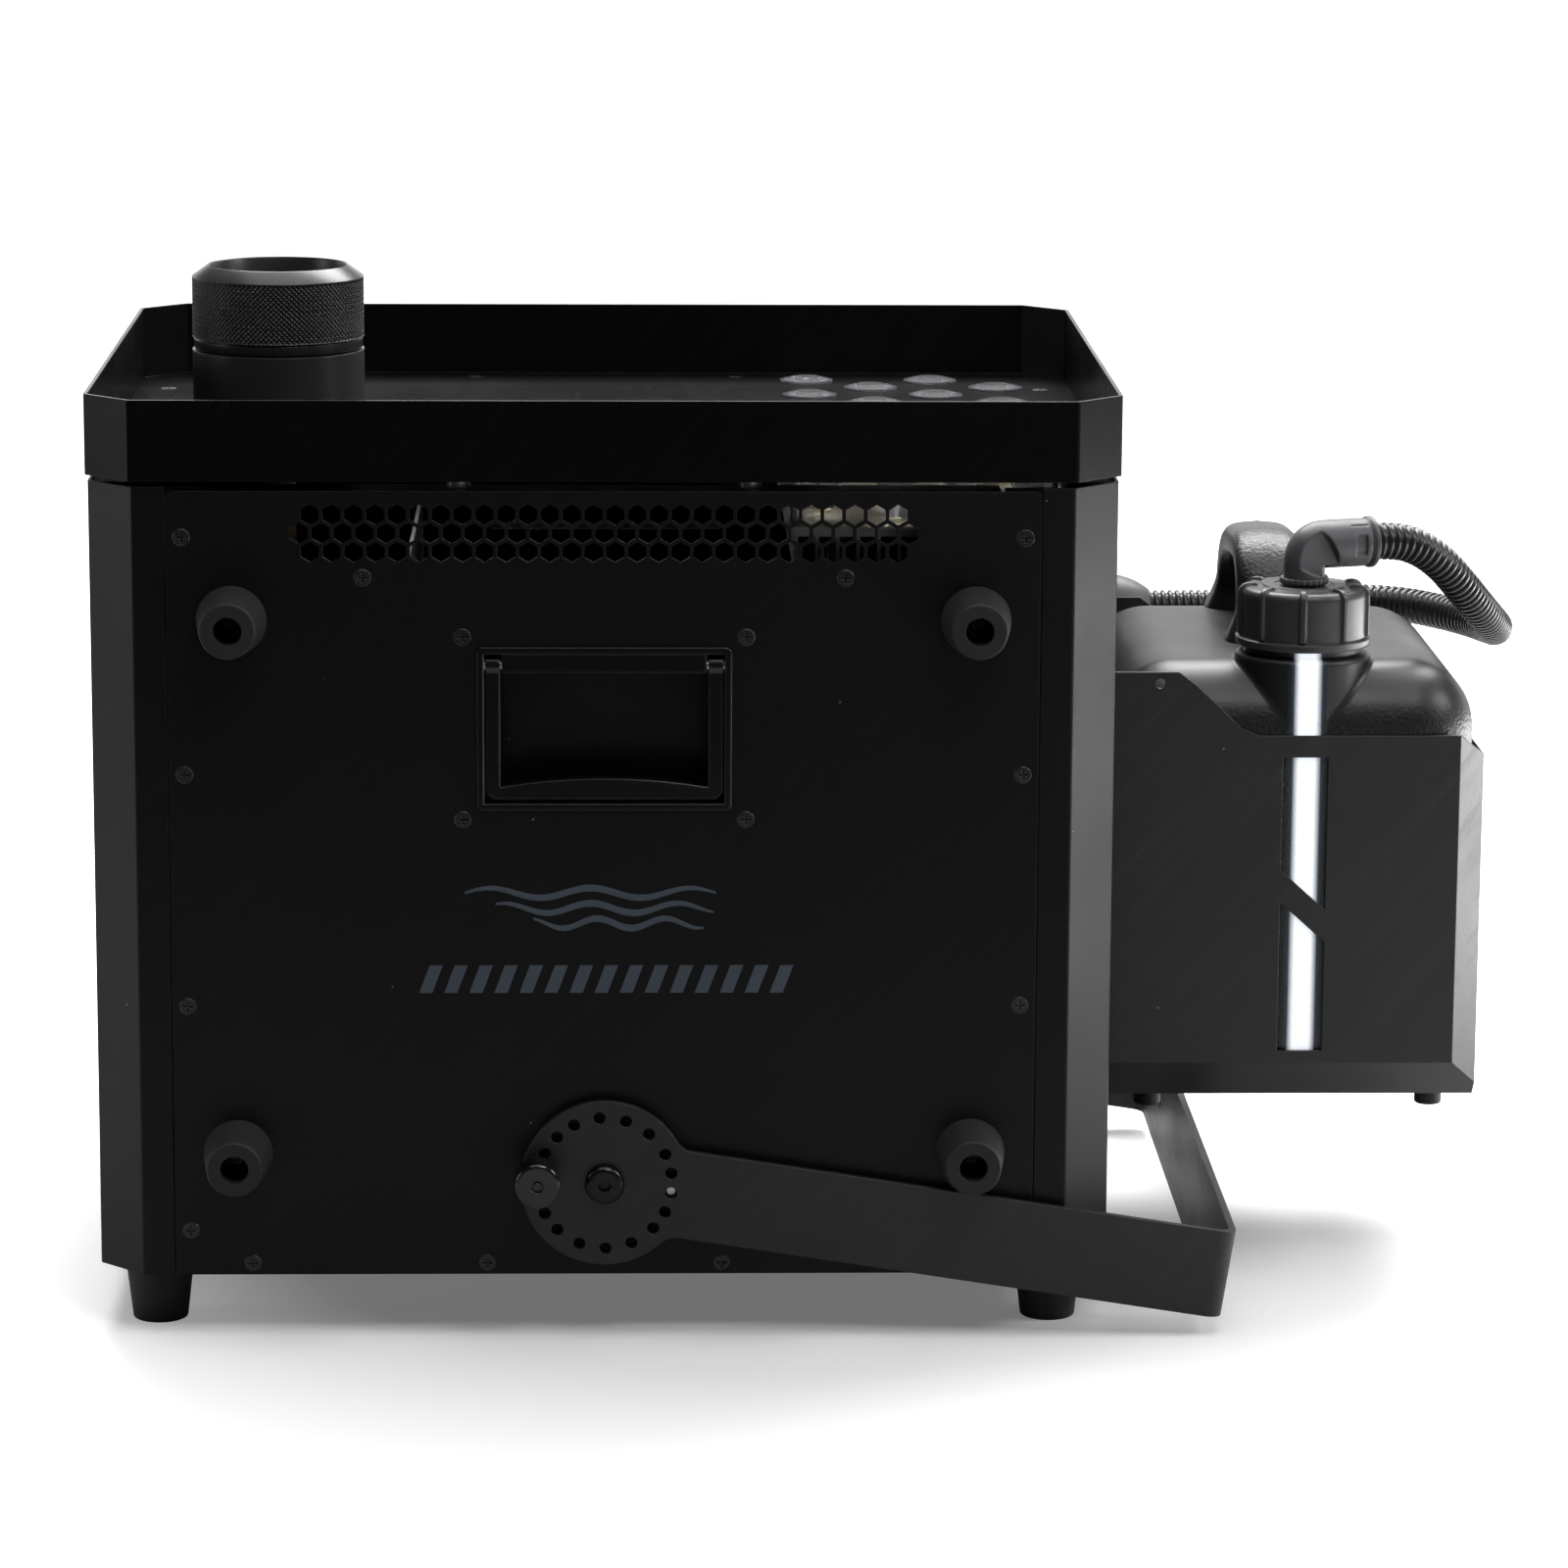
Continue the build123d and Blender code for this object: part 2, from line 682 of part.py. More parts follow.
# ---------------------------------------------------------------- feet
underside = Plane(origin=(body_x, body_y, foot_h), x_dir=(1, 0, 0), z_dir=(0, 0, -1))
base_foot_spots = [
    (sx * base_foot_x, sy * (body_d / 2 - base_foot_inset))
    for sx in (-1, 1)
    for sy in (-1, 1)
]
with BuildPart() as base_feet:
    with Locations(underside):
        with Locations(*base_foot_spots):
            add(rubber_foot.part)
base_feet.part.label = "base_feet"
export_step(base_feet.part, "parts/base_feet.step")

with BuildPart() as side_feet:
    with Locations(facing("front")):
        with Locations(*foot_spots):
            add(rubber_foot.part)
side_feet.part.label = "side_feet"
export_step(side_feet.part, "parts/side_feet.step")

with BuildPart() as foot_screws:
    with Locations(underside):
        with Locations(*base_foot_spots):
            add(foot_screw.part)
    with Locations(facing("front")):
        with Locations(*foot_spots):
            add(foot_screw.part)
foot_screws.part.label = "foot_screws"
export_step(foot_screws.part, "parts/foot_screws.step")

# ---------------------------------------------------------------- fog nozzle and heater
neck_top = collar_z[2] - 4.0
shoulder = collar_z[0] - 0.5
with BuildPart() as nozzle_sleeve:
    with BuildSketch(upright(nozzle_x, 0)):
        with BuildLine():
            Polyline(
                (nozzle_bore, tray_z - 12.0), (neck_r - 1.2, tray_z - 12.0),
                (neck_r - 1.2, tray_z + sheet), (nozzle_r, tray_z + sheet), (nozzle_r, shoulder),
                (neck_r, shoulder), (neck_r, neck_top), (nozzle_bore, neck_top), close=True,
            )
        make_face()
    revolve(axis=upright_axis(nozzle_x, 0))
nozzle_sleeve.part.label = "nozzle_sleeve"
export_step(nozzle_sleeve.part, "parts/nozzle_sleeve.step")

with BuildPart() as nozzle_collar:
    with BuildSketch(upright(nozzle_x, 0)):
        with BuildLine():
            Polyline(
                (neck_r + pin_clear, collar_z[0]), (nozzle_r - 0.7, collar_z[0]),
                (nozzle_r - 0.7, collar_z[1]), (nozzle_r, collar_z[1]), (nozzle_r, collar_z[2]),
                (nozzle_r - 6.8, collar_z[3]), (collar_bore, collar_z[3]),
                (collar_bore, neck_top + side_play), (neck_r + pin_clear, neck_top + side_play),
                close=True,
            )
        make_face()
    revolve(axis=upright_axis(nozzle_x, 0))
nozzle_collar.part.label = "nozzle_collar"
export_step(nozzle_collar.part, "parts/nozzle_collar.step")

heater_z = (66.0, 266.0)
pump_x = 128.0
pump_y = 96.0
pump_z = 44.0
tube_r = 4.0
heater_w = 74.0
heater_d = 112.0
pipe_r = 7.0
with BuildPart() as heater_block:
    with BuildSketch(level(heater_z[0])):
        with Locations((nozzle_x, 0)):
            RectangleRounded(heater_w, heater_d, 8.0)
    extrude(amount=heater_z[1] - heater_z[0])
    with BuildSketch(level(heater_z[1])):
        with Locations((nozzle_x, 0)):
            Circle(16.0)
    extrude(amount=12.0)
    with BuildSketch(level(heater_z[0])):
        with Locations((nozzle_x, 0)):
            Circle(pipe_r)
    extrude(amount=heater_z[1] + 12.0 - heater_z[0], mode=Mode.SUBTRACT)
heater_block.part.label = "heater_block"
export_step(heater_block.part, "parts/heater_block.step")

pipe_top = 372.0
with BuildPart() as outlet_pipe:
    with BuildSketch(level(heater_z[1] - 20.0)):
        with Locations((nozzle_x, 0)):
            Circle(pipe_r)
            Circle(pipe_r - 2.0, mode=Mode.SUBTRACT)
    extrude(amount=pipe_top - heater_z[1] + 20.0)
    with BuildSketch(level(pipe_top - 8.0)):
        with Locations((nozzle_x, 0)):
            RegularPolygon(11.0, 6)
            Circle(pipe_r - 2.0, mode=Mode.SUBTRACT)
    extrude(amount=6.0)
outlet_pipe.part.label = "outlet_pipe"
export_step(outlet_pipe.part, "parts/outlet_pipe.step")

jacket_t = 8.0
with BuildPart() as heater_jacket:
    with BuildSketch(level(heater_z[0] + 6.0)):
        with Locations((nozzle_x, 0)):
            RectangleRounded(heater_w + 2 * jacket_t, heater_d + 2 * jacket_t, 12.0)
            RectangleRounded(heater_w + slack, heater_d + slack, 8.0, mode=Mode.SUBTRACT)
    extrude(amount=heater_z[1] - heater_z[0] - 12.0)
heater_jacket.part.label = "heater_jacket"
export_step(heater_jacket.part, "parts/heater_jacket.step")

with BuildPart() as heater_legs:
    for end in (-1, 1):
        with BuildSketch(level(sheet)):
            with Locations((nozzle_x, end * (heater_d / 2 - 14.0))):
                Rectangle(heater_w - 10.0, 24.0)
        extrude(amount=2.0)
        with BuildSketch(level(sheet)):
            with Locations((nozzle_x, end * (heater_d / 2 - 25.0))):
                Rectangle(heater_w - 10.0, 2.0)
        extrude(amount=heater_z[0] - sheet)
        with BuildSketch(level(heater_z[0])):
            with Locations((nozzle_x, end * (heater_d / 2 - 14.0))):
                Rectangle(heater_w - 10.0, 24.0)
        extrude(amount=-2.0)
    with BuildSketch(across(0)):
        with Locations((nozzle_x, pump_z)):
            Circle(tube_r + 2.0)
    extrude(amount=heater_d, both=True, mode=Mode.SUBTRACT)
heater_legs.part.label = "heater_legs"
export_step(heater_legs.part, "parts/heater_legs.step")

shield_x = -86.0
with BuildPart() as heat_shield:
    with BuildSketch(level(sheet)):
        with Locations((shield_x, 0)):
            Rectangle(sheet, body_d - 80.0)
    extrude(amount=290.0)
    with BuildSketch(level(sheet)):
        with Locations((shield_x + 8.0, 0)):
            Rectangle(16.0, body_d - 80.0)
    extrude(amount=sheet)
heat_shield.part.label = "heat_shield"
export_step(heat_shield.part, "parts/heat_shield.step")

# ---------------------------------------------------------------- fluid supply inside the casing
pump_r = 21.0
pump_l = 60.0
port_r = 4.5
with BuildPart() as pump:
    with BuildSketch(level(sheet)):
        with Locations((pump_x, pump_y)):
            Rectangle(50.0, pump_l)
    extrude(amount=3.0)
    with BuildSketch(level(sheet)):
        with Locations((pump_x, pump_y)):
            Rectangle(30.0, 20.0)
    extrude(amount=pump_z - sheet)
    with BuildSketch(across(pump_y)):
        with Locations((pump_x, pump_z)):
            Circle(pump_r)
    extrude(amount=pump_l / 2, both=True)
    with BuildSketch(across(pump_y)):
        with Locations((pump_x, pump_z)):
            Circle(port_r)
    extrude(amount=pump_l / 2 + 16.0, both=True)
pump.part.label = "pump"
export_step(pump.part, "parts/pump.step")

tube_bend = 12.0
gland_inner = wall_x - 16.0
suction_route = [
    (gland_inner, gland_y, gland_z),
    (gland_inner - 40.0, gland_y, gland_z),
    (gland_inner - 40.0, pump_y + 62.0, gland_z - 120.0),
    (pump_x, pump_y + 62.0, pump_z),
    (pump_x, pump_y + pump_l / 2 + 16.0, pump_z),
]
feed_route = [
    (pump_x, pump_y - pump_l / 2 - 16.0, pump_z),
    (pump_x, -150.0, pump_z),
    (nozzle_x, -150.0, pump_z),
    (nozzle_x, 0.0, pump_z),
    (nozzle_x, 0.0, heater_z[0]),
]
with BuildPart() as fluid_tubes:
    for route in (suction_route, feed_route):
        places = [Vector(body_x + x, body_y + y, foot_h + z) for x, y, z in route]
        with BuildLine() as tube_path:
            FilletPolyline(*places, radius=tube_bend)
        with BuildSketch(Plane(origin=tube_path.line @ 0, z_dir=tube_path.line % 0)):
            Circle(tube_r)
        sweep(path=tube_path.line)
fluid_tubes.part.label = "fluid_tubes"
export_step(fluid_tubes.part, "parts/fluid_tubes.step")

# ---------------------------------------------------------------- power supply and control board
with BuildPart() as power_supply:
    with BuildSketch(level(sheet + 1.0)):
        with Locations((20.0, -30.0)):
            Rectangle(114.0, 215.0)
    extrude(amount=34.0)
    with BuildSketch(level(sheet + 35.0)):
        with Locations((20.0, -30.0)):
            with GridLocations(8.0, 8.0, 10, 18):
                Circle(2.4)
    extrude(amount=-1.0, mode=Mode.SUBTRACT)
    with BuildSketch(level(sheet)):
        with Locations((20.0, -30.0)):
            Rectangle(100.0, 200.0)
    extrude(amount=1.0)
power_supply.part.label = "power_supply"
export_step(power_supply.part, "parts/power_supply.step")

with BuildPart() as control_board:
    with BuildSketch(right_wall(shield_x + sheet / 2 + 8.0 - wall_x)):
        with Locations((0.0, 180.0)):
            Rectangle(150.0, 100.0)
    extrude(amount=1.6)
    with BuildSketch(right_wall(shield_x + sheet / 2 - wall_x)):
        with Locations((0.0, 180.0)):
            with GridLocations(138.0, 88.0, 2, 2):
                Circle(2.6)
    extrude(amount=8.0)
    with BuildSketch(right_wall(shield_x + sheet / 2 + 9.6 - wall_x)):
        for place in ((-45.0, 195.0), (5.0, 165.0), (45.0, 200.0)):
            with Locations(place):
                Rectangle(24.0, 18.0)
    extrude(amount=11.0)
control_board.part.label = "control_board"
export_step(control_board.part, "parts/control_board.step")

# ---------------------------------------------------------------- tilt bracket
drop = radians(arm_drop)
arm_dir = (cos(drop), 0, -sin(drop))
arm_up = (sin(drop), 0, cos(drop))
pivot_point = Vector(body_x, body_y, foot_h + pivot_z)
arm_in = body_d / 2 + bracket_gap
arm_out = arm_in + bar_t


def arm_plane(side, distance):
    """Plane of an arm, distance from the casing's centre line: local x runs along the arm."""
    if side == "front":
        return Plane(origin=pivot_point - Vector(0, distance, 0), x_dir=arm_dir, z_dir=(0, -1, 0))
    return Plane(origin=pivot_point + Vector(0, distance, 0), x_dir=arm_dir, z_dir=(0, -1, 0))


ring_angles = [0.0, 180.0]
for step in (17.5, 35.0, 57.7, 80.5, 103.3, 126.0, 144.0, 162.0):
    ring_angles += [step, -step]
ring_spots = [(ring_r * cos(radians(a)), ring_r * sin(radians(a))) for a in ring_angles if a != 180.0]
plunger_spot = (-ring_r, 0)
barrel_neck_r = 5.0

with BuildPart() as tilt_bracket:
    with BuildSketch(Plane(origin=pivot_point, x_dir=arm_dir, z_dir=arm_up)) as bow:
        with Locations((arm_len / 2, 0)):
            Rectangle(arm_len, 2 * arm_out)
        fillet(bow.vertices().group_by(Axis.X)[-1], bar_bend)
        with Locations(((arm_len - bar_t) / 2, 0)):
            RectangleRounded(arm_len - bar_t, 2 * arm_in, bar_bend - bar_t, mode=Mode.SUBTRACT)
        with Locations((0, 0)):
            Rectangle(60.0, 2 * arm_in, mode=Mode.SUBTRACT)
    extrude(amount=bar_w / 2, both=True)
    for side, distance in (("front", arm_out), ("rear", arm_in)):
        with BuildSketch(arm_plane(side, distance)) as head:
            Circle(disc_r)
            with Locations((disc_r, 0)):
                Rectangle(2 * disc_r, bar_w)
            fillet(head.vertices().filter_by(lambda v: v.X < disc_r), 8.0)
        extrude(amount=-bar_t)
        with BuildSketch(arm_plane(side, distance)):
            Circle(pivot_r + pin_clear)
            with Locations(*ring_spots):
                Circle(ring_hole_r)
            with Locations(plunger_spot):
                Circle(barrel_neck_r if side == "front" else ring_hole_r)
        extrude(amount=-bar_t, mode=Mode.SUBTRACT)
    with BuildSketch(Plane(origin=pivot_point, x_dir=(0, 1, 0), z_dir=arm_dir)):
        with Locations((-cross_hole_y, 0), (cross_hole_y, 0)):
            Circle(cross_hole_r)
    extrude(amount=arm_len + 1.0, mode=Mode.SUBTRACT)
tilt_bracket.part.label = "tilt_bracket"
export_step(tilt_bracket.part, "parts/tilt_bracket.step")

spacer_t = bracket_gap - side_play
with BuildPart() as bracket_spacers:
    for side in ("front", "rear"):
        with BuildSketch(facing(side)):
            with Locations((0, pivot_z)):
                Circle(12.0)
                Circle(pivot_r + pin_clear, mode=Mode.SUBTRACT)
        extrude(amount=spacer_t)
bracket_spacers.part.label = "bracket_spacers"
export_step(bracket_spacers.part, "parts/bracket_spacers.step")

bolt_seat = bracket_gap + bar_t + side_play
with BuildPart() as pivot_bolts:
    for side in ("front", "rear"):
        with BuildSketch(facing(side, -bolt_seat)):
            with Locations((0, pivot_z)):
                Circle(bolt_head_r)
        extrude(amount=bolt_head_h)
        fillet(pivot_bolts.faces().sort_by(Axis.Y)[0 if side == "front" else -1].edges(), 2.6)
        with BuildSketch(facing(side, -bolt_seat - bolt_head_h)):
            with Locations((0, pivot_z)):
                RegularPolygon(2.9, 6)
        extrude(amount=-3.0, mode=Mode.SUBTRACT)
        with BuildSketch(facing(side, -bolt_seat)):
            with Locations((0, pivot_z)):
                Circle(pivot_r)
        extrude(amount=-(bolt_seat + sheet + 8.0))
        with BuildSketch(facing(side, sheet)):
            with Locations((0, pivot_z)):
                RegularPolygon(7.5, 6)
        extrude(amount=-6.5)
pivot_bolts.part.label = "pivot_bolts"
export_step(pivot_bolts.part, "parts/pivot_bolts.step")

with BuildPart() as detent_pins:
    for side in ("front", "rear"):
        with BuildSketch(facing(side)):
            with Locations((0, pivot_z)):
                with Locations(
                    ((1 if side == "front" else -1) * ring_r * cos(drop), -ring_r * sin(drop)),
                ):
                    Circle(2.0)
        extrude(amount=bracket_gap - 0.6)
detent_pins.part.label = "detent_pins"
export_step(detent_pins.part, "parts/detent_pins.step")

barrel_h = 6.0
plunger_pin_r = 2.5
with BuildPart() as plunger_barrel:
    with BuildSketch(arm_plane("front", arm_out)):
        with Locations(plunger_spot):
            Circle(6.8)
    extrude(amount=barrel_h)
    with BuildSketch(arm_plane("front", arm_out)):
        with Locations(plunger_spot):
            Circle(barrel_neck_r)
    extrude(amount=-bar_t)
    with BuildSketch(arm_plane("front", arm_out + barrel_h)):
        with Locations(plunger_spot):
            Circle(plunger_pin_r + pin_clear)
    extrude(amount=-(barrel_h + bar_t), mode=Mode.SUBTRACT)
plunger_barrel.part.label = "plunger_barrel"
export_step(plunger_barrel.part, "parts/plunger_barrel.step")

knob_gap = knob_reach - knob_l - barrel_h
with BuildPart() as plunger_knob:
    with BuildSketch(arm_plane("front", arm_out + barrel_h + knob_gap)):
        with Locations(plunger_spot):
            Circle(knob_r)
    extrude(amount=knob_l)
    fillet(plunger_knob.edges().filter_by(GeomType.CIRCLE), 1.6)
    with BuildSketch(arm_plane("front", arm_out + knob_reach)):
        with Locations(plunger_spot):
            Circle(2.6)
    extrude(amount=-1.5, mode=Mode.SUBTRACT)
    with BuildSketch(arm_plane("front", arm_in - 1.2)):
        with Locations(plunger_spot):
            Circle(plunger_pin_r)
    extrude(amount=bar_t + barrel_h + knob_gap + 2.2)
    with BuildSketch(arm_plane("front", arm_out + knob_reach - 2.0)):
        with Locations(plunger_spot):
            Circle(1.8)
    extrude(amount=1.8)
plunger_knob.part.label = "plunger_knob"
export_step(plunger_knob.part, "parts/plunger_knob.step")

# ---------------------------------------------------------------- fluid cradle on the right wall
cradle_x = wall_x + cradle_reach / 2
cradle_mid = cradle_y + cradle_d / 2


def cradle_plan(inset):
    """Plan of the cradle, inset from its outside, with its two outer corners cut."""
    with BuildSketch() as plan:
        with Locations((cradle_x, cradle_mid)):
            Rectangle(cradle_reach, cradle_d)
        chamfer(plan.vertices().group_by(Axis.X)[-1], cradle_cut)
    if not inset:
        return plan.sketch
    with BuildSketch() as inner:
        with Locations((cradle_x - inset, cradle_mid)):
            Rectangle(cradle_reach, cradle_d - 2 * inset)
        chamfer(inner.vertices().group_by(Axis.X)[-1], cradle_cut - inset * (2 - sqrt(2)))
    return inner.sketch


slot_left = wall_x + slot_x - slot_w / 2
slot_right = slot_left + slot_w
slot_drop = slot_w * 0.9
upper_slot = (cradle_top - 9.6, 161.4)
lower_slot = (147.0, 80.5)
tab_x = (wall_x + 39.9, wall_x + 63.7)
cradle_outer = cradle_plan(0.0)
cradle_inner = cradle_plan(sheet)
with BuildPart() as cradle_room:
    with BuildSketch(right_wall()):
        y0 = cradle_y + sheet
        y1 = cradle_y + cradle_d - sheet
        z0 = cradle_z + sheet
        inner_bevel = cradle_bevel - sheet * (2 - sqrt(2))
        with BuildLine():
            Polyline(
                (y0, cradle_tab_top + 1), (y0, z0 + inner_bevel),
                (y0 + inner_bevel, z0), (y1 - inner_bevel, z0),
                (y1, z0 + inner_bevel), (y1, cradle_tab_top + 1), close=True
            )
        make_face()
    extrude(amount=cradle_reach)
    with BuildSketch(level(cradle_z)):
        add(cradle_inner)
    extrude(amount=cradle_tab_top, mode=Mode.INTERSECT)

with BuildPart() as fluid_cradle:
    with BuildSketch(level(cradle_z)):
        add(cradle_outer)
    extrude(amount=cradle_tab_top - cradle_z)
    low_edges = fluid_cradle.edges().group_by(Axis.Z)[0].filter_by(Axis.X).sort_by(Axis.Y)
    chamfer([low_edges[0], low_edges[-1]], cradle_bevel)
    add(cradle_room.part, mode=Mode.SUBTRACT)
    with BuildSketch(across(0)):
        with BuildLine():
            Polyline(
                (tab_x[0] - 8.0, cradle_tab_top + 1), (tab_x[0] - 8.0, cradle_tab_top),
                (tab_x[0], cradle_tab_top - 6.0), (tab_x[1] - 4.0, cradle_top + 3.0),
                (tab_x[1] + 4.0, cradle_top), (wall_x + cradle_reach - cradle_cut, cradle_top),
                (wall_x + cradle_reach + 1, cradle_top - 11.0),
                (wall_x + cradle_reach + 1, cradle_tab_top + 1), close=True,
            )
        make_face()
    extrude(amount=guard_d, both=True, mode=Mode.SUBTRACT)
    with BuildSketch(across(cradle_y)):
        for top, low in (upper_slot, lower_slot):
            with BuildLine():
                if top > cradle_top / 1.2:
                    Polyline(
                        (slot_left, top), (slot_right, top), (slot_right, low - slot_drop),
                        (slot_left, low), close=True,
                    )
                else:
                    Polyline(
                        (slot_left, top), (slot_right, top - slot_drop), (slot_right, low),
                        (slot_left, low), close=True,
                    )
            make_face()
        with Locations((wall_x + 23.9, cradle_tab_top - 5.0)):
            Circle(2.2)
    extrude(amount=-2 * sheet, mode=Mode.SUBTRACT)
    with BuildSketch(level(cradle_z + sheet)):
        for y in (cradle_y + sheet / 2 + 8.0, cradle_y + cradle_d - sheet / 2 - 8.0):
            with Locations((wall_x + sheet / 2, y)):
                Rectangle(sheet, 16.0)
    extrude(amount=cradle_top - cradle_z - sheet - 2.0)
    with BuildSketch(right_wall()):
        with Locations(*[
            (y, z)
            for y in (cradle_y + 9.0, cradle_y + cradle_d - 9.0)
            for z in (100.0, 190.0)
        ]):
            Circle(screw_r + screw_clear)
    extrude(amount=sheet, mode=Mode.SUBTRACT)
fluid_cradle.part.label = "fluid_cradle"
export_step(fluid_cradle.part, "parts/fluid_cradle.step")

cradle_under = Plane(origin=(body_x, body_y, foot_h + cradle_z), x_dir=(1, 0, 0), z_dir=(0, 0, -1))
with BuildPart() as cradle_bumpers:
    with BuildSketch(level(cradle_z)):
        with Locations(*[
            (wall_x + x, y)
            for x in (24.0, cradle_reach - 18.0)
            for y in (cradle_y + 30.0, cradle_y + cradle_d - 30.0)
        ]):
            Circle(6.0)
    extrude(amount=-7.0)
    fillet(cradle_bumpers.edges().group_by(Axis.Z)[0], 1.0)
cradle_bumpers.part.label = "cradle_bumpers"
export_step(cradle_bumpers.part, "parts/cradle_bumpers.step")

with BuildPart() as cradle_screws:
    for y in (cradle_y + 9.0, cradle_y + cradle_d - 9.0):
        for z in (100.0, 190.0):
            with BuildSketch(right_wall(sheet)):
                with Locations((y, z)):
                    Circle(3.4)
            extrude(amount=1.0)
            with BuildSketch(right_wall(sheet)):
                with Locations((y, z)):
                    Circle(screw_r)
            extrude(amount=-10.0)
cradle_screws.part.label = "cradle_screws"
export_step(cradle_screws.part, "parts/cradle_screws.step")

# ---------------------------------------------------------------- fluid canister
can_low = cradle_z + sheet + 0.5
can_d = cradle_d - 2 * sheet - 2 * can_gap
can_x = wall_x + sheet + can_gap + can_w / 2
can_y = cradle_mid
neck_at = (wall_x + neck_x, neck_y)
grip_x = 76.6
grip_w = 30.0
with BuildPart() as can_cavity:
    with BuildSketch(level(can_low + can_wall)):
        with Locations((can_x, can_y)):
            Rectangle(can_w - 2 * can_wall, can_d - 2 * can_wall)
    extrude(amount=can_h - 2 * can_wall)
    fillet(can_cavity.edges(), can_r - can_wall)

with BuildPart() as canister:
    with BuildSketch(level(can_low)):
        with Locations((can_x, can_y)):
            Rectangle(can_w, can_d)
    extrude(amount=can_h)
    fillet(canister.edges(), can_r)
    with BuildSketch(upright(*neck_at)):
        with BuildLine():
            Polyline(
                (0, can_low + can_h - 20.0), (29.0, can_low + can_h - 20.0),
                (29.0, can_low + can_h + 1.0), (can_neck_r + 1.0, can_low + can_h + 2.5),
                (can_neck_r, can_low + can_h + 2.5), (can_neck_r, cap_z + cap_h - 8.0),
                (0, cap_z + cap_h - 8.0), close=True,
            )
        make_face()
    revolve(axis=upright_axis(*neck_at))
    with BuildSketch(right_wall(grip_x)):
        with BuildLine():
            Polyline(
                (-34.0, can_low + can_h - 8.0), (-28.0, 284.0), (-14.0, 296.0), (50.0, 293.0),
                (66.0, 280.0), (76.0, can_low + can_h - 8.0), close=True,
            )
        make_face()
        with BuildLine():
            Polyline(
                (-14.0, can_low + can_h + 1.0), (-11.0, 274.0), (-5.0, 279.0), (44.0, 276.0),
                (50.0, 271.0), (56.0, can_low + can_h + 1.0), close=True,
            )
        make_face(mode=Mode.SUBTRACT)
    extrude(amount=grip_w / 2, both=True)
    add(can_cavity.part, mode=Mode.SUBTRACT)
    with BuildSketch(level(can_low + can_h - 24.0)):
        with Locations(neck_at):
            Circle(can_neck_r - 2.5)
    extrude(amount=60.0, mode=Mode.SUBTRACT)
canister.part.label = "canister"
export_step(canister.part, "parts/canister.step")

cap_top = cap_z + cap_h
cap_wall = 2.3
cap_ribs = 9
with BuildPart() as canister_cap:
    with BuildSketch(upright(*neck_at)):
        with BuildLine():
            Polyline(
                (can_neck_r + pin_clear, cap_z), (cap_r, cap_z), (cap_r, cap_z + 3.0),
                (cap_r - 1.7, cap_z + 4.0), (cap_r - 1.7, cap_top - 1.5), (cap_r - 3.2, cap_top),
                (elbow_r + pin_clear, cap_top), (elbow_r + pin_clear, cap_top - cap_wall),
                (can_neck_r + pin_clear, cap_top - cap_wall), close=True,
            )
        make_face()
    revolve(axis=upright_axis(*neck_at))
    with BuildSketch(level(cap_z + 4.0)):
        with Locations(neck_at):
            with PolarLocations(cap_r - 1.7, cap_ribs, start_angle=-97):
                Rectangle(2.4, 3.2)
    extrude(amount=cap_h - 6.0)
canister_cap.part.label = "canister_cap"
export_step(canister_cap.part, "parts/canister_cap.step")

elbow_bend = 12.0
stem_low = cap_z + 10.0
stem = Vector(body_x + neck_at[0], body_y + neck_at[1], foot_h)
elbow_turn = stem + Vector(0, 0, elbow_z)
barrel_way = Vector(*barrel_end, 0).normalized()
barrel_mouth = elbow_turn + Vector(*barrel_end, 0)
with BuildPart() as hose_elbow:
    with BuildLine() as elbow_line:
        FilletPolyline(stem + Vector(0, 0, stem_low), elbow_turn, barrel_mouth, radius=elbow_bend)
    with BuildSketch(level(stem_low)):
        with Locations(neck_at):
            Circle(elbow_r)
    sweep(path=elbow_line.line)
    with BuildSketch(level(cap_top + side_play)):
        with Locations(neck_at):
            Circle(elbow_r + 1.7)
    extrude(amount=2.4)
    with BuildSketch(Plane(origin=barrel_mouth, z_dir=barrel_way)):
        Circle(barrel_r)
    extrude(amount=-(Vector(*barrel_end, 0).length - elbow_r))
    with BuildSketch(Plane(origin=barrel_mouth, z_dir=barrel_way)):
        Circle(barrel_ring_r)
    extrude(amount=-barrel_ring_w)
hose_elbow.part.label = "hose_elbow"
export_step(hose_elbow.part, "parts/hose_elbow.step")

with BuildPart() as dip_tube:
    with BuildSketch(level(stem_low)):
        with Locations(neck_at):
            Circle(5.0)
            Circle(3.5, mode=Mode.SUBTRACT)
    extrude(amount=-(stem_low - can_low - can_r))
    with BuildSketch(level(can_low + can_r)):
        with Locations(neck_at):
            Circle(9.0)
    extrude(amount=-18.0)
dip_tube.part.label = "dip_tube"
export_step(dip_tube.part, "parts/dip_tube.step")

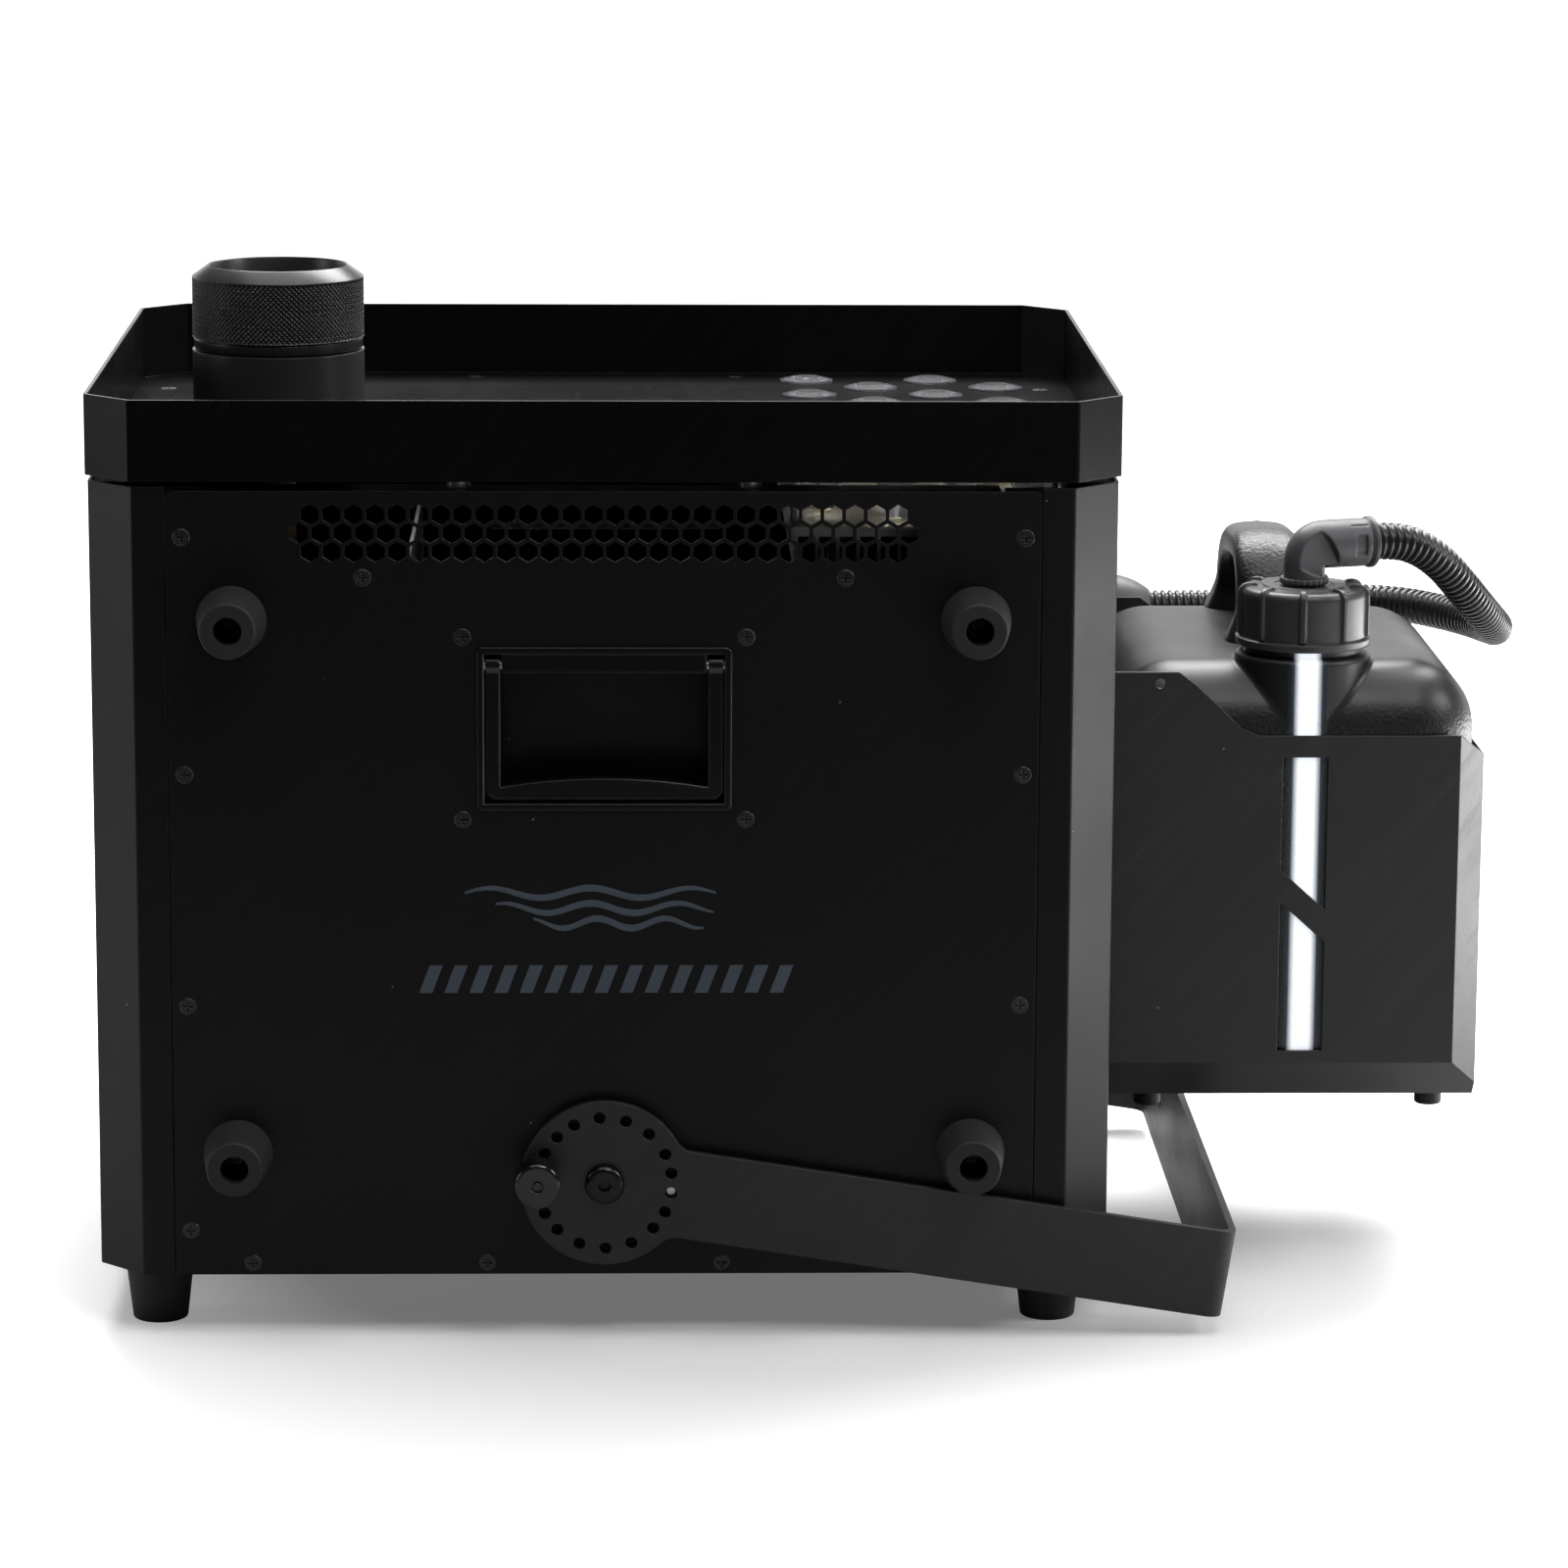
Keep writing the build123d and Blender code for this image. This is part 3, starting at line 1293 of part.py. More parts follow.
# ---------------------------------------------------------------- hose gland and hose
with BuildPart() as hose_gland:
    gland_axis = Axis((body_x, body_y + gland_y, foot_h + gland_z), (1, 0, 0))
    gland_plan = Plane(origin=gland_axis.position, x_dir=(1, 0, 0), z_dir=(0, 0, 1))
    dome_start = wall_x + gland_reach - 15.0
    with BuildSketch(gland_plan):
        with BuildLine():
            Line((gland_inner, 0), (gland_inner, 10.0))
            Line((gland_inner, 10.0), (wall_x, 10.0))
            Line((wall_x, 10.0), (wall_x, gland_r))
            Line((wall_x, gland_r), (dome_start, gland_r))
            ThreePointArc(
                (dome_start, gland_r), (dome_start + 9.5, gland_r - 3.2),
                (wall_x + gland_reach, hose_r + 0.6),
            )
            Line((wall_x + gland_reach, hose_r + 0.6), (wall_x + gland_reach, 0))
            Line((wall_x + gland_reach, 0), (gland_inner, 0))
        make_face()
    revolve(axis=gland_axis)
    with BuildSketch(right_wall(-sheet)):
        with Locations((gland_y, gland_z)):
            RegularPolygon(14.0, 6)
            Circle(10.0, mode=Mode.SUBTRACT)
    extrude(amount=-6.0)
hose_gland.part.label = "hose_gland"
export_step(hose_gland.part, "parts/hose_gland.step")

hose_route = [
    (253.5, -52.75, 327.0),
    (264.9, -48.95, 327.0),
    (276.0, -44.6, 323.2),
    (287.0, -38.0, 315.2),
    (297.2, -27.3, 303.6),
    (307.0, -13.0, 291.8),
    (315.8, 6.0, 281.6),
    (322.0, 27.5, 274.6),
    (323.4, 50.5, 271.0),
    (318.5, 73.5, 270.2),
    (306.5, 94.0, 270.8),
    (288.0, 109.5, 272.0),
    (265.0, 118.0, 271.8),
    (239.0, 120.75, 269.6),
    (210.0, 120.75, 268.0),
    (172.5, 120.75, 268.0),
]


def bend_radii(points):
    """Largest fair radius at each corner: 0.45 of the shorter run over the tangent of half the turn."""
    radii = []
    for before, corner, after in zip(points, points[1:], points[2:]):
        run_in = Vector(*corner) - Vector(*before)
        run_out = Vector(*after) - Vector(*corner)
        half_turn = radians(run_in.get_angle(run_out)) / 2
        radii.append(0.45 * min(run_in.length, run_out.length) / tan(half_turn))
    return radii


hose_radii = bend_radii(hose_route)
print("hose bend radii", [round(r, 1) for r in hose_radii])
with BuildPart() as fluid_hose:
    with BuildLine() as hose_line:
        FilletPolyline(*hose_route, radius=hose_radii)
    with BuildSketch(Plane(origin=hose_line.line @ 0, z_dir=hose_line.line % 0)):
        Circle(hose_r)
    sweep(path=hose_line.line)
fluid_hose.part.label = "fluid_hose"
export_step(fluid_hose.part, "parts/fluid_hose.step")
hose_length = hose_line.wires()[0].length
print(
    "hose length", round(hose_length, 1), "volume ratio",
    round(fluid_hose.part.volume / (pi * hose_r**2 * hose_length), 4),
)

# ---------------------------------------------------------------- control plate on the left wall
plate_t = 1.5
display_z = panel_side_z + 68.0
button_z = panel_side_z + 38.0
button_y = (-39.0, -13.0, 13.0, 39.0)
button_r = 5.0
socket_z = panel_side_z + 4.0
power_z = panel_side_z - 36.0
socket_y = (-28.0, 28.0)
dmx_r = 11.0
power_r = 13.0
rocker_z = panel_side_z - 74.0
rocker_w = 21.0
rocker_h = 13.0
with BuildPart() as control_panel:
    with BuildSketch(left_wall()):
        with Locations((0, panel_side_z)):
            RectangleRounded(panel_side_w, panel_side_h, 4.0)
            with GridLocations(panel_side_w - 12.0, panel_side_h - 12.0, 2, 2):
                Circle(screw_r + screw_clear, mode=Mode.SUBTRACT)
        with Locations((0, display_z)):
            Rectangle(62.0, 20.0, mode=Mode.SUBTRACT)
        with Locations(*[(y, button_z) for y in button_y]):
            Circle(button_r + pin_clear, mode=Mode.SUBTRACT)
        with Locations(*[(y, socket_z) for y in socket_y]):
            Circle(dmx_r, mode=Mode.SUBTRACT)
        with Locations(*[(y, power_z) for y in socket_y]):
            Circle(power_r, mode=Mode.SUBTRACT)
        with Locations((0, rocker_z)):
            Rectangle(rocker_w + 1.0, rocker_h + 1.0, mode=Mode.SUBTRACT)
    extrude(amount=plate_t)
    with BuildSketch(left_wall(plate_t)):
        with Locations((0, panel_side_z)):
            with GridLocations(panel_side_w - 12.0, panel_side_h - 12.0, 2, 2):
                Circle(3.2)
    extrude(amount=1.0)
    with BuildSketch(left_wall(plate_t + 1.0)):
        with Locations((0, panel_side_z)):
            with GridLocations(panel_side_w - 12.0, panel_side_h - 12.0, 2, 2):
                Circle(screw_r)
    extrude(amount=-(plate_t + 1.0 + 7.0))
    with BuildSketch(left_wall()):
        with Locations((0, rocker_z)):
            Rectangle(rocker_w + 5.0, rocker_h + 5.0)
            Rectangle(rocker_w + 1.0, rocker_h + 1.0, mode=Mode.SUBTRACT)
    extrude(amount=-14.0)
control_panel.part.label = "control_panel"
export_step(control_panel.part, "parts/control_panel.step")

with BuildPart() as display_window:
    with BuildSketch(left_wall(plate_t)):
        with Locations((0, display_z)):
            RectangleRounded(68.0, 26.0, 2.0)
    extrude(amount=1.2)
    with BuildSketch(left_wall(plate_t)):
        with Locations((0, display_z)):
            Rectangle(61.0, 19.0)
    extrude(amount=-4.0)
display_window.part.label = "display_window"
export_step(display_window.part, "parts/display_window.step")

for button_name, y in zip(("menu_button", "down_button", "up_button", "enter_button"), button_y):
    with BuildPart() as button:
        with BuildSketch(left_wall(plate_t + 2.0)):
            with Locations((y, button_z)):
                Circle(button_r)
        extrude(amount=-6.0)
        fillet(button.edges().group_by(Axis.X)[0], 0.8)
    button.part.label = button_name
    export_step(button.part, f"parts/{button_name}.step")

with BuildPart() as dmx_sockets:
    with BuildSketch(left_wall(plate_t)):
        with Locations(*[(y, socket_z) for y in socket_y]):
            RectangleRounded(26.0, 30.0, 4.0)
            Circle(9.0, mode=Mode.SUBTRACT)
    extrude(amount=2.0)
    with BuildSketch(left_wall(plate_t)):
        with Locations(*[(y, socket_z) for y in socket_y]):
            Circle(dmx_r - slack)
            Circle(9.0, mode=Mode.SUBTRACT)
    extrude(amount=-18.0)
    with BuildSketch(left_wall(-18.0 + plate_t + 3.0)):
        with Locations(*[(y, socket_z) for y in socket_y]):
            Circle(dmx_r - slack)
    extrude(amount=-3.0)
    with BuildSketch(left_wall(-18.0 + plate_t + 3.0)):
        with Locations(*[(y, socket_z) for y in socket_y]):
            with PolarLocations(4.6, 5):
                Circle(0.9)
    extrude(amount=9.0)
dmx_sockets.part.label = "dmx_sockets"
export_step(dmx_sockets.part, "parts/dmx_sockets.step")

with BuildPart() as power_sockets:
    with BuildSketch(left_wall(plate_t)):
        with Locations(*[(y, power_z) for y in socket_y]):
            RectangleRounded(31.0, 34.0, 4.0)
            Circle(10.5, mode=Mode.SUBTRACT)
    extrude(amount=socket_proud - plate_t)
    with BuildSketch(left_wall(plate_t)):
        with Locations(*[(y, power_z) for y in socket_y]):
            Circle(power_r - slack)
            Circle(10.5, mode=Mode.SUBTRACT)
    extrude(amount=-22.0)
    with BuildSketch(left_wall(-22.0 + plate_t + 4.0)):
        with Locations(*[(y, power_z) for y in socket_y]):
            Circle(power_r - slack)
    extrude(amount=-4.0)
    with BuildSketch(left_wall(-22.0 + plate_t + 4.0)):
        with Locations(*[(y, power_z) for y in socket_y]):
            Circle(6.0)
    extrude(amount=15.0)
power_sockets.part.label = "power_sockets"
export_step(power_sockets.part, "parts/power_sockets.step")

rocker_depth = 6.0
rocker_tip = 3.9
with BuildPart() as power_rocker:
    rocker_at = left_wall().origin + Vector(0, 0, rocker_z)
    with BuildSketch(Plane(origin=rocker_at, x_dir=(-1, 0, 0), z_dir=(0, 0, 1))):
        with BuildLine():
            half = rocker_w / 2 - 1.2
            Polyline(
                (-rocker_depth, -half + 2.0), (-rocker_depth, half - 2.0), (rocker_tip, half),
                (rocker_tip - 2.6, 0), (rocker_tip - 2.6 - 2.0, -half), close=True,
            )
        make_face()
    extrude(amount=rocker_h / 2, both=True)
power_rocker.part.label = "power_rocker"
export_step(power_rocker.part, "parts/power_rocker.step")
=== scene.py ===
"""Fog machine: finishes, hose, fluid canister and moulded details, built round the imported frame.

Metres, +Z up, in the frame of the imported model: -Y is out of the panel with the four side feet and
+X is towards the fluid canister. Every new piece is worked out with numpy as a grid of points, and
takes its place from the boxes of the parts that it stands for.
"""
import json
from math import cos, pi, radians, sin

import bpy
from mathutils import Euler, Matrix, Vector
import numpy as np


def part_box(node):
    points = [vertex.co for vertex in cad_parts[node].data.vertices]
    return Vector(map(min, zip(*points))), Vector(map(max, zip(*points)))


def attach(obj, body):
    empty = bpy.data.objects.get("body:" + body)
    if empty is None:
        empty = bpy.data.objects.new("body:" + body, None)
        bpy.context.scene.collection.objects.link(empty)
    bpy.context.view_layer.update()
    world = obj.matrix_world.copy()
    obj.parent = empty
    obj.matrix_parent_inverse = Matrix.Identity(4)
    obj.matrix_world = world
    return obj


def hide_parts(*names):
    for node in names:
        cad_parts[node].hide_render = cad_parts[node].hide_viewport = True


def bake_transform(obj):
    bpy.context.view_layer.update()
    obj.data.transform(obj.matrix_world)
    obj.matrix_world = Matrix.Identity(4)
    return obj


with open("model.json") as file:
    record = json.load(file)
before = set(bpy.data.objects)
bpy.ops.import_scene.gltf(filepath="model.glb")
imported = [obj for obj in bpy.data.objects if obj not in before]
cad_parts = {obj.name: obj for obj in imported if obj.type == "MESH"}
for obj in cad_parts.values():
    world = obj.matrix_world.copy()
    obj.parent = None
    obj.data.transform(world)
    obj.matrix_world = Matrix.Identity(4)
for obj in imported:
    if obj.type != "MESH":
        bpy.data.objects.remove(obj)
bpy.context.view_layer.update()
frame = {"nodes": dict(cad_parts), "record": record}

bl_info = {
    "name": "Fog machine",
    "version": (1, 0, 0),
    "blender": (4, 5, 0),
    "location": "3D View > Sidebar > Fog machine",
    "description": "Builds the visible pieces and finishes of a fog machine",
    "category": "Object",
}

# ---------------------------------------------------------------- places, from the frame
panel_low, panel_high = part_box("front_panel")
cap_low, cap_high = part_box("canister_cap")
can_low, can_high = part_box("canister")
collar_low, collar_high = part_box("nozzle_collar")

case_x = (panel_low.x + panel_high.x) / 2
case_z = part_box("base_tray")[0].z
panel_face = panel_low.y
neck_x = (cap_low.x + cap_high.x) / 2
neck_y = (cap_low.y + cap_high.y) / 2
nozzle_x = (collar_low.x + collar_high.x) / 2
nozzle_y = (collar_low.y + collar_high.y) / 2

hose_radius = 0.0082
hose_route = [
    (0.2535, -0.05275, 0.3270),
    (0.2649, -0.04895, 0.3270),
    (0.2760, -0.0446, 0.3232),
    (0.2870, -0.0380, 0.3152),
    (0.2972, -0.0273, 0.3036),
    (0.3070, -0.0130, 0.2918),
    (0.3158, 0.0060, 0.2816),
    (0.3220, 0.0275, 0.2746),
    (0.3234, 0.0505, 0.2710),
    (0.3185, 0.0735, 0.2702),
    (0.3065, 0.0940, 0.2708),
    (0.2880, 0.1095, 0.2720),
    (0.2650, 0.1180, 0.2718),
    (0.2390, 0.12075, 0.2696),
    (0.2100, 0.12075, 0.2680),
    (0.1725, 0.12075, 0.2680),
]
elbow_height = hose_route[0][2]

camera_place = (-0.0773, -2.5710, 0.7273)
camera_turn = (78.5865, -0.3201, -1.6313)
camera_lens = 134.09
sensor_width = 36.0


# ---------------------------------------------------------------- grids of points
def grid_faces(rows, columns, wrap_rows=False, wrap_columns=True):
    """Four-cornered faces between neighbouring points of a grid; a wrapped way joins its ends."""
    row = np.arange(rows if wrap_rows else rows - 1)
    column = np.arange(columns if wrap_columns else columns - 1)
    row, column = np.meshgrid(row, column, indexing="ij")
    next_row = (row + 1) % rows
    next_column = (column + 1) % columns
    corners = (
        row * columns + column,
        row * columns + next_column,
        next_row * columns + next_column,
        next_row * columns + column,
    )
    return np.stack(corners, axis=-1).reshape(-1, 4)


def closed_end(first, count, middle, outwards):
    """A fan of triangles from the middle point to a ring of points that starts at first."""
    ring = first + np.arange(count)
    after = first + (np.arange(count) + 1) % count
    pair = (ring, after) if outwards else (after, ring)
    return np.stack([*pair, np.full(count, middle)], axis=-1)


def closed_ends(rows, columns, outwards=True):
    """Fans over the first and last rows of a grid, to two points that follow the grid's own.

    They face outwards where the rows' points run counter-clockwise about the way that the rows go."""
    count = rows * columns
    return [
        closed_end(0, columns, count, not outwards),
        closed_end(count - columns, columns, count + 1, outwards),
    ]


def smooth_step(value, start, end):
    """0 before start and 1 after end, with 3t^2 - 2t^3 of the share t between them."""
    share = np.clip((value - start) / (end - start), 0.0, 1.0)
    return share * share * (3 - 2 * share)


def bump_in(value, low, high, edge):
    """1 between low and high, falling smoothly to 0 over the width edge at both ends."""
    return smooth_step(value, low - edge, low + edge) * (1 - smooth_step(value, high - edge, high + edge))


def along(corners, step):
    """Points at about equal steps along straight runs between corners, with every corner kept."""
    runs = []
    for start, end in zip(corners, corners[1:]):
        start = np.array(start, float)
        end = np.array(end, float)
        count = max(1, int(np.ceil(np.linalg.norm(end - start) / step)))
        runs.append(start + (end - start) * np.arange(count)[:, None] / count)
    return np.concatenate([*runs, [np.array(corners[-1], float)]])


def turned(profile, columns, centre):
    """Surface of revolution: each profile row (radius, height) turned in columns about a vertical axis.

    The radius may be one number for a row or one for every column of it."""
    angle = np.arange(columns) * 2 * pi / columns
    radius = np.asarray(profile[0], float)
    height = np.asarray(profile[1], float)
    radius = radius if radius.ndim == 2 else np.repeat(radius[:, None], columns, axis=1)
    height = height if height.ndim == 2 else np.repeat(height[:, None], columns, axis=1)
    x = centre[0] + radius * np.cos(angle)
    y = centre[1] + radius * np.sin(angle)
    return np.stack([x, y, height], axis=-1)


def path_frames(path):
    """Unit tangent, level side and upward normal at every point of a path that is nowhere upright."""
    tangent = np.gradient(path, axis=0)
    tangent /= np.linalg.norm(tangent, axis=1)[:, None]
    side = np.cross([0.0, 0.0, 1.0], tangent)
    side /= np.linalg.norm(side, axis=1)[:, None]
    return tangent, side, np.cross(tangent, side)


def new_mesh(name, parts, material, sharp=40.0):
    """A mesh object of several (points, faces) parts, smooth except over edges sharper than an angle."""
    points = []
    faces = []
    first = 0
    for part_points, part_faces in parts:
        part_points = np.asarray(part_points, float).reshape(-1, 3)
        points.append(part_points)
        for group in part_faces:
            faces += (group + first).tolist()
        first += len(part_points)
    mesh = bpy.data.meshes.new(name)
    mesh.from_pydata(np.concatenate(points), [], faces)
    mesh.validate()
    mesh.shade_smooth()
    mesh.set_sharp_from_angle(angle=radians(sharp))
    mesh.materials.append(material)
    piece = bpy.data.objects.new(name, mesh)
    bpy.context.scene.collection.objects.link(piece)
    return piece


def centreline(name, route):
    """Points of the smooth line through a cord's route: a NURBS spline of order 3 with those points."""
    curve = bpy.data.curves.new(name, "CURVE")
    curve.dimensions = "3D"
    spline = curve.splines.new("NURBS")
    spline.points.add(len(route) - 1)
    for point, place in zip(spline.points, route):
        point.co = (*place, 1.0)
    spline.order_u = 3
    spline.use_endpoint_u = True
    spline.resolution_u = 24
    holder = bpy.data.objects.new(name, curve)
    line = bpy.data.meshes.new_from_object(holder)
    points = np.zeros(len(line.vertices) * 3)
    line.vertices.foreach_get("co", points)
    bpy.data.objects.remove(holder)
    bpy.data.curves.remove(curve)
    bpy.data.meshes.remove(line)
    return points.reshape(-1, 3)


def even_steps(path, step):
    """The same path with its points at equal distances, and their distances from its start."""
    lengths = np.linalg.norm(np.diff(path, axis=0), axis=1)
    distance = np.concatenate([[0.0], np.cumsum(lengths)])
    wanted = np.linspace(0.0, distance[-1], int(distance[-1] / step) + 1)
    return np.stack([np.interp(wanted, distance, path[:, k]) for k in range(3)], axis=-1), wanted


# ---------------------------------------------------------------- shader groups
def add_node(tree, kind, values=None, **settings):
    """A node with its settings, and with its inputs set to numbers or joined to other sockets."""
    made = tree.nodes.new(kind)
    for name, value in settings.items():
        setattr(made, name, value)
    for key, value in (values or {}).items():
        if isinstance(value, bpy.types.NodeSocket):
            tree.links.new(value, made.inputs[key])
        else:
            made.inputs[key].default_value = value
    return made


def remap(tree, value, low, high, to_low=0.0, to_high=1.0):
    """The value's range from low to high, moved to another range and kept inside it."""
    values = {"Value": value, "From Min": low, "From Max": high, "To Min": to_low, "To Max": to_high}
    return add_node(tree, "ShaderNodeMapRange", values, clamp=True).outputs["Result"]


def arithmetic(tree, operation, first, second=0.0):
    """One step of arithmetic on one or two values."""
    return add_node(tree, "ShaderNodeMath", {0: first, 1: second}, operation=operation).outputs[0]


def noise(tree, vector, scale, detail=2.0, roughness=0.5, distortion=0.0):
    """The value of a noise texture."""
    values = {"Vector": vector, "Scale": scale, "Detail": detail}
    values.update({"Roughness": roughness, "Distortion": distortion})
    return add_node(tree, "ShaderNodeTexNoise", values).outputs["Fac"]


def mapped(tree, vector, scale=(1.0, 1.0, 1.0), turn=(0.0, 0.0, 0.0)):
    """The vector turned and stretched."""
    values = {"Vector": vector, "Scale": scale, "Rotation": [radians(angle) for angle in turn]}
    return add_node(tree, "ShaderNodeMapping", values).outputs["Vector"]


def new_group(name, numbers, outputs):
    """An empty shader group with a vector input, number inputs and value outputs."""
    group = bpy.data.node_groups.new(name, "ShaderNodeTree")
    group.interface.new_socket("Vector", in_out="INPUT", socket_type="NodeSocketVector")
    for label, value in numbers.items():
        made = group.interface.new_socket(label, in_out="INPUT", socket_type="NodeSocketFloat")
        made.default_value = value
    for label in outputs:
        group.interface.new_socket(label, in_out="OUTPUT", socket_type="NodeSocketFloat")
    return group, group.nodes.new("NodeGroupInput"), group.nodes.new("NodeGroupOutput")


def coat_group():
    """Baked coat: fine grain, cloudy patches, scattered dust and faint wiping streaks."""
    numbers = {"Grain": 1100.0, "Cloud": 7.0, "Dust": 70.0, "Dust share": 0.25}
    group, given, result = new_group("coat_surface", numbers, ["Height", "Cloud", "Dust", "Streak"])
    vector = given.outputs["Vector"]
    fine = noise(group, vector, given.outputs["Grain"], 1.5, 0.55)
    group.links.new(fine, result.inputs["Height"])
    cloud = noise(group, vector, given.outputs["Cloud"], 4.0, 0.6, 0.4)
    group.links.new(remap(group, cloud, 0.3, 0.7), result.inputs["Cloud"])
    cells = add_node(group, "ShaderNodeTexVoronoi", {"Vector": vector, "Scale": given.outputs["Dust"]})
    near = remap(group, cells.outputs["Distance"], 0.015, 0.035, 1.0, 0.0)
    chance = add_node(group, "ShaderNodeSeparateColor", {"Color": cells.outputs["Color"]}).outputs["Red"]
    kept = arithmetic(group, "LESS_THAN", chance, given.outputs["Dust share"])
    group.links.new(arithmetic(group, "MULTIPLY", near, kept), result.inputs["Dust"])
    wiped = mapped(group, mapped(group, vector, turn=(0.0, 48.0, 0.0)), (13.0, 13.0, 190.0))
    streak = noise(group, wiped, 1.0, 5.0, 0.6, 0.3)
    group.links.new(remap(group, streak, 0.50, 0.78), result.inputs["Streak"])
    return group


def pebble_group():
    """Leather-like moulded texture: rounded cells over a finer grain."""
    numbers = {"Pebble": 620.0, "Cloud": 12.0}
    group, given, result = new_group("pebble_surface", numbers, ["Height", "Cloud"])
    vector = given.outputs["Vector"]
    values = {"Vector": vector, "Scale": given.outputs["Pebble"], "Smoothness": 0.6}
    cells = add_node(group, "ShaderNodeTexVoronoi", values, feature="SMOOTH_F1").outputs["Distance"]
    grain = noise(group, vector, given.outputs["Pebble"], 2.0, 0.6)
    raised = arithmetic(group, "SUBTRACT", arithmetic(group, "MULTIPLY", grain, 0.7), cells)
    group.links.new(raised, result.inputs["Height"])
    cloud = noise(group, vector, given.outputs["Cloud"], 3.0, 0.6, 0.3)
    group.links.new(remap(group, cloud, 0.3, 0.7), result.inputs["Cloud"])
    return group


def brushed_group():
    """Drawn or machined metal: long fine lines across cloudy patches."""
    numbers = {"Lines": 900.0, "Cloud": 15.0}
    group, given, result = new_group("brushed_surface", numbers, ["Height", "Cloud"])
    stretched = mapped(group, given.outputs["Vector"], (0.04, 0.04, 1.0))
    lines = noise(group, stretched, given.outputs["Lines"], 3.0, 0.6)
    group.links.new(lines, result.inputs["Height"])
    cloud = noise(group, given.outputs["Vector"], given.outputs["Cloud"], 4.0, 0.6, 0.5)
    group.links.new(remap(group, cloud, 0.3, 0.7), result.inputs["Cloud"])
    return group


def weave_group():
    """Plain weave: threads in two ways, each a row of humps that rise where the other dips."""
    group, given, result = new_group("weave_surface", {"Threads": 900.0}, ["Height"])
    parts = add_node(group, "ShaderNodeSeparateXYZ", {"Vector": given.outputs["Vector"]})
    level = arithmetic(group, "ADD", parts.outputs["X"], parts.outputs["Y"])
    waves = []
    for way in (level, parts.outputs["Z"]):
        turns = arithmetic(group, "MULTIPLY", way, given.outputs["Threads"])
        waves.append(arithmetic(group, "SINE", turns))
    group.links.new(arithmetic(group, "MULTIPLY", *waves), result.inputs["Height"])
    return group


groups = {}


def group_node(tree, name, vector, **numbers):
    """One of the shared groups, placed in a material with its own numbers."""
    values = {"Vector": vector}
    values.update({label.replace("_", " ").capitalize(): number for label, number in numbers.items()})
    return add_node(tree, "ShaderNodeGroup", values, node_tree=groups[name])


# ---------------------------------------------------------------- finishes
def start_material(name, uniform):
    """A material with its Principled shader, its uniform values set on the shader's own sockets."""
    material = bpy.data.materials.new(name)
    material.use_nodes = True
    tree = material.node_tree
    shader = tree.nodes["Principled BSDF"]
    for key, value in uniform.items():
        shader.inputs[key].default_value = value
    vector = tree.nodes.new("ShaderNodeTexCoord").outputs["Object"]
    return material, tree, shader, vector


def speckled(tree, base, tint, share):
    """The base colour with another colour laid on it where share is 1."""
    values = {"Factor": share, 6: base, 7: (*tint, 1.0)}
    return add_node(tree, "ShaderNodeMix", values, data_type="RGBA").outputs[2]


def two_tones(tree, colour, lighter, share):
    """A colour that goes from colour to a lighter tone of it as share goes from 0 to 1."""
    light = [min(1.0, part * lighter) for part in colour]
    return speckled(tree, (*colour, 1.0), light, share)


def rough_surface(tree, shader, height, strength, distance, edge=0.0007, flat=False):
    """Joins a height to the shader's normal through a bump, over edges that are softened a little.

    On flat sheet the softening starts from the faces' own normals."""
    rounded = {"Radius": edge}
    if flat:
        rounded["Normal"] = tree.nodes.new("ShaderNodeNewGeometry").outputs["True Normal"]
    soft = add_node(tree, "ShaderNodeBevel", rounded, samples=4).outputs["Normal"]
    values = {"Height": height, "Strength": strength, "Distance": distance, "Normal": soft}
    tree.links.new(add_node(tree, "ShaderNodeBump", values).outputs["Normal"], shader.inputs["Normal"])


def coated(
    name, colour, roughness, grain=1100.0, depth=0.00005, dust=0.22, streaks=0.5, flat=False, **uniform
):
    """Satin baked coat on sheet metal."""
    material, tree, shader, vector = start_material(name, uniform)
    surface = group_node(tree, "coat", vector, grain=grain, dust_share=dust)
    tones = two_tones(tree, colour, 1.5, surface.outputs["Cloud"])
    streak = arithmetic(tree, "MULTIPLY", surface.outputs["Streak"], 0.35 * streaks)
    tones = speckled(tree, tones, tuple(part * 2.6 + 0.004 for part in colour), streak)
    tones = speckled(tree, tones, (0.30, 0.30, 0.31), surface.outputs["Dust"])
    tree.links.new(tones, shader.inputs["Base Color"])
    drier = arithmetic(tree, "MULTIPLY", streak, 1.5)
    patches = arithmetic(tree, "SUBTRACT", surface.outputs["Cloud"], drier)
    spread = remap(tree, patches, -0.4, 1.0, roughness + 0.07, roughness - 0.05)
    tree.links.new(spread, shader.inputs["Roughness"])
    rough_surface(tree, shader, surface.outputs["Height"], 0.6, depth, flat=flat)
    return material


def moulded(name, colour, roughness, pebble=900.0, depth=0.00004, lighter=1.5, edge=0.0007, **uniform):
    """Moulded plastic or rubber with a fine cell texture."""
    material, tree, shader, vector = start_material(name, uniform)
    surface = group_node(tree, "pebble", vector, pebble=pebble)
    tones = two_tones(tree, colour, lighter, surface.outputs["Cloud"])
    dusty = group_node(tree, "coat", vector, dust=90.0, dust_share=0.15)
    tones = speckled(tree, tones, (0.28, 0.28, 0.29), dusty.outputs["Dust"])
    tree.links.new(tones, shader.inputs["Base Color"])
    spread = remap(tree, surface.outputs["Cloud"], 0.0, 1.0, roughness + 0.06, roughness - 0.05)
    tree.links.new(spread, shader.inputs["Roughness"])
    rough_surface(tree, shader, surface.outputs["Height"], 0.7, depth, edge)
    return material


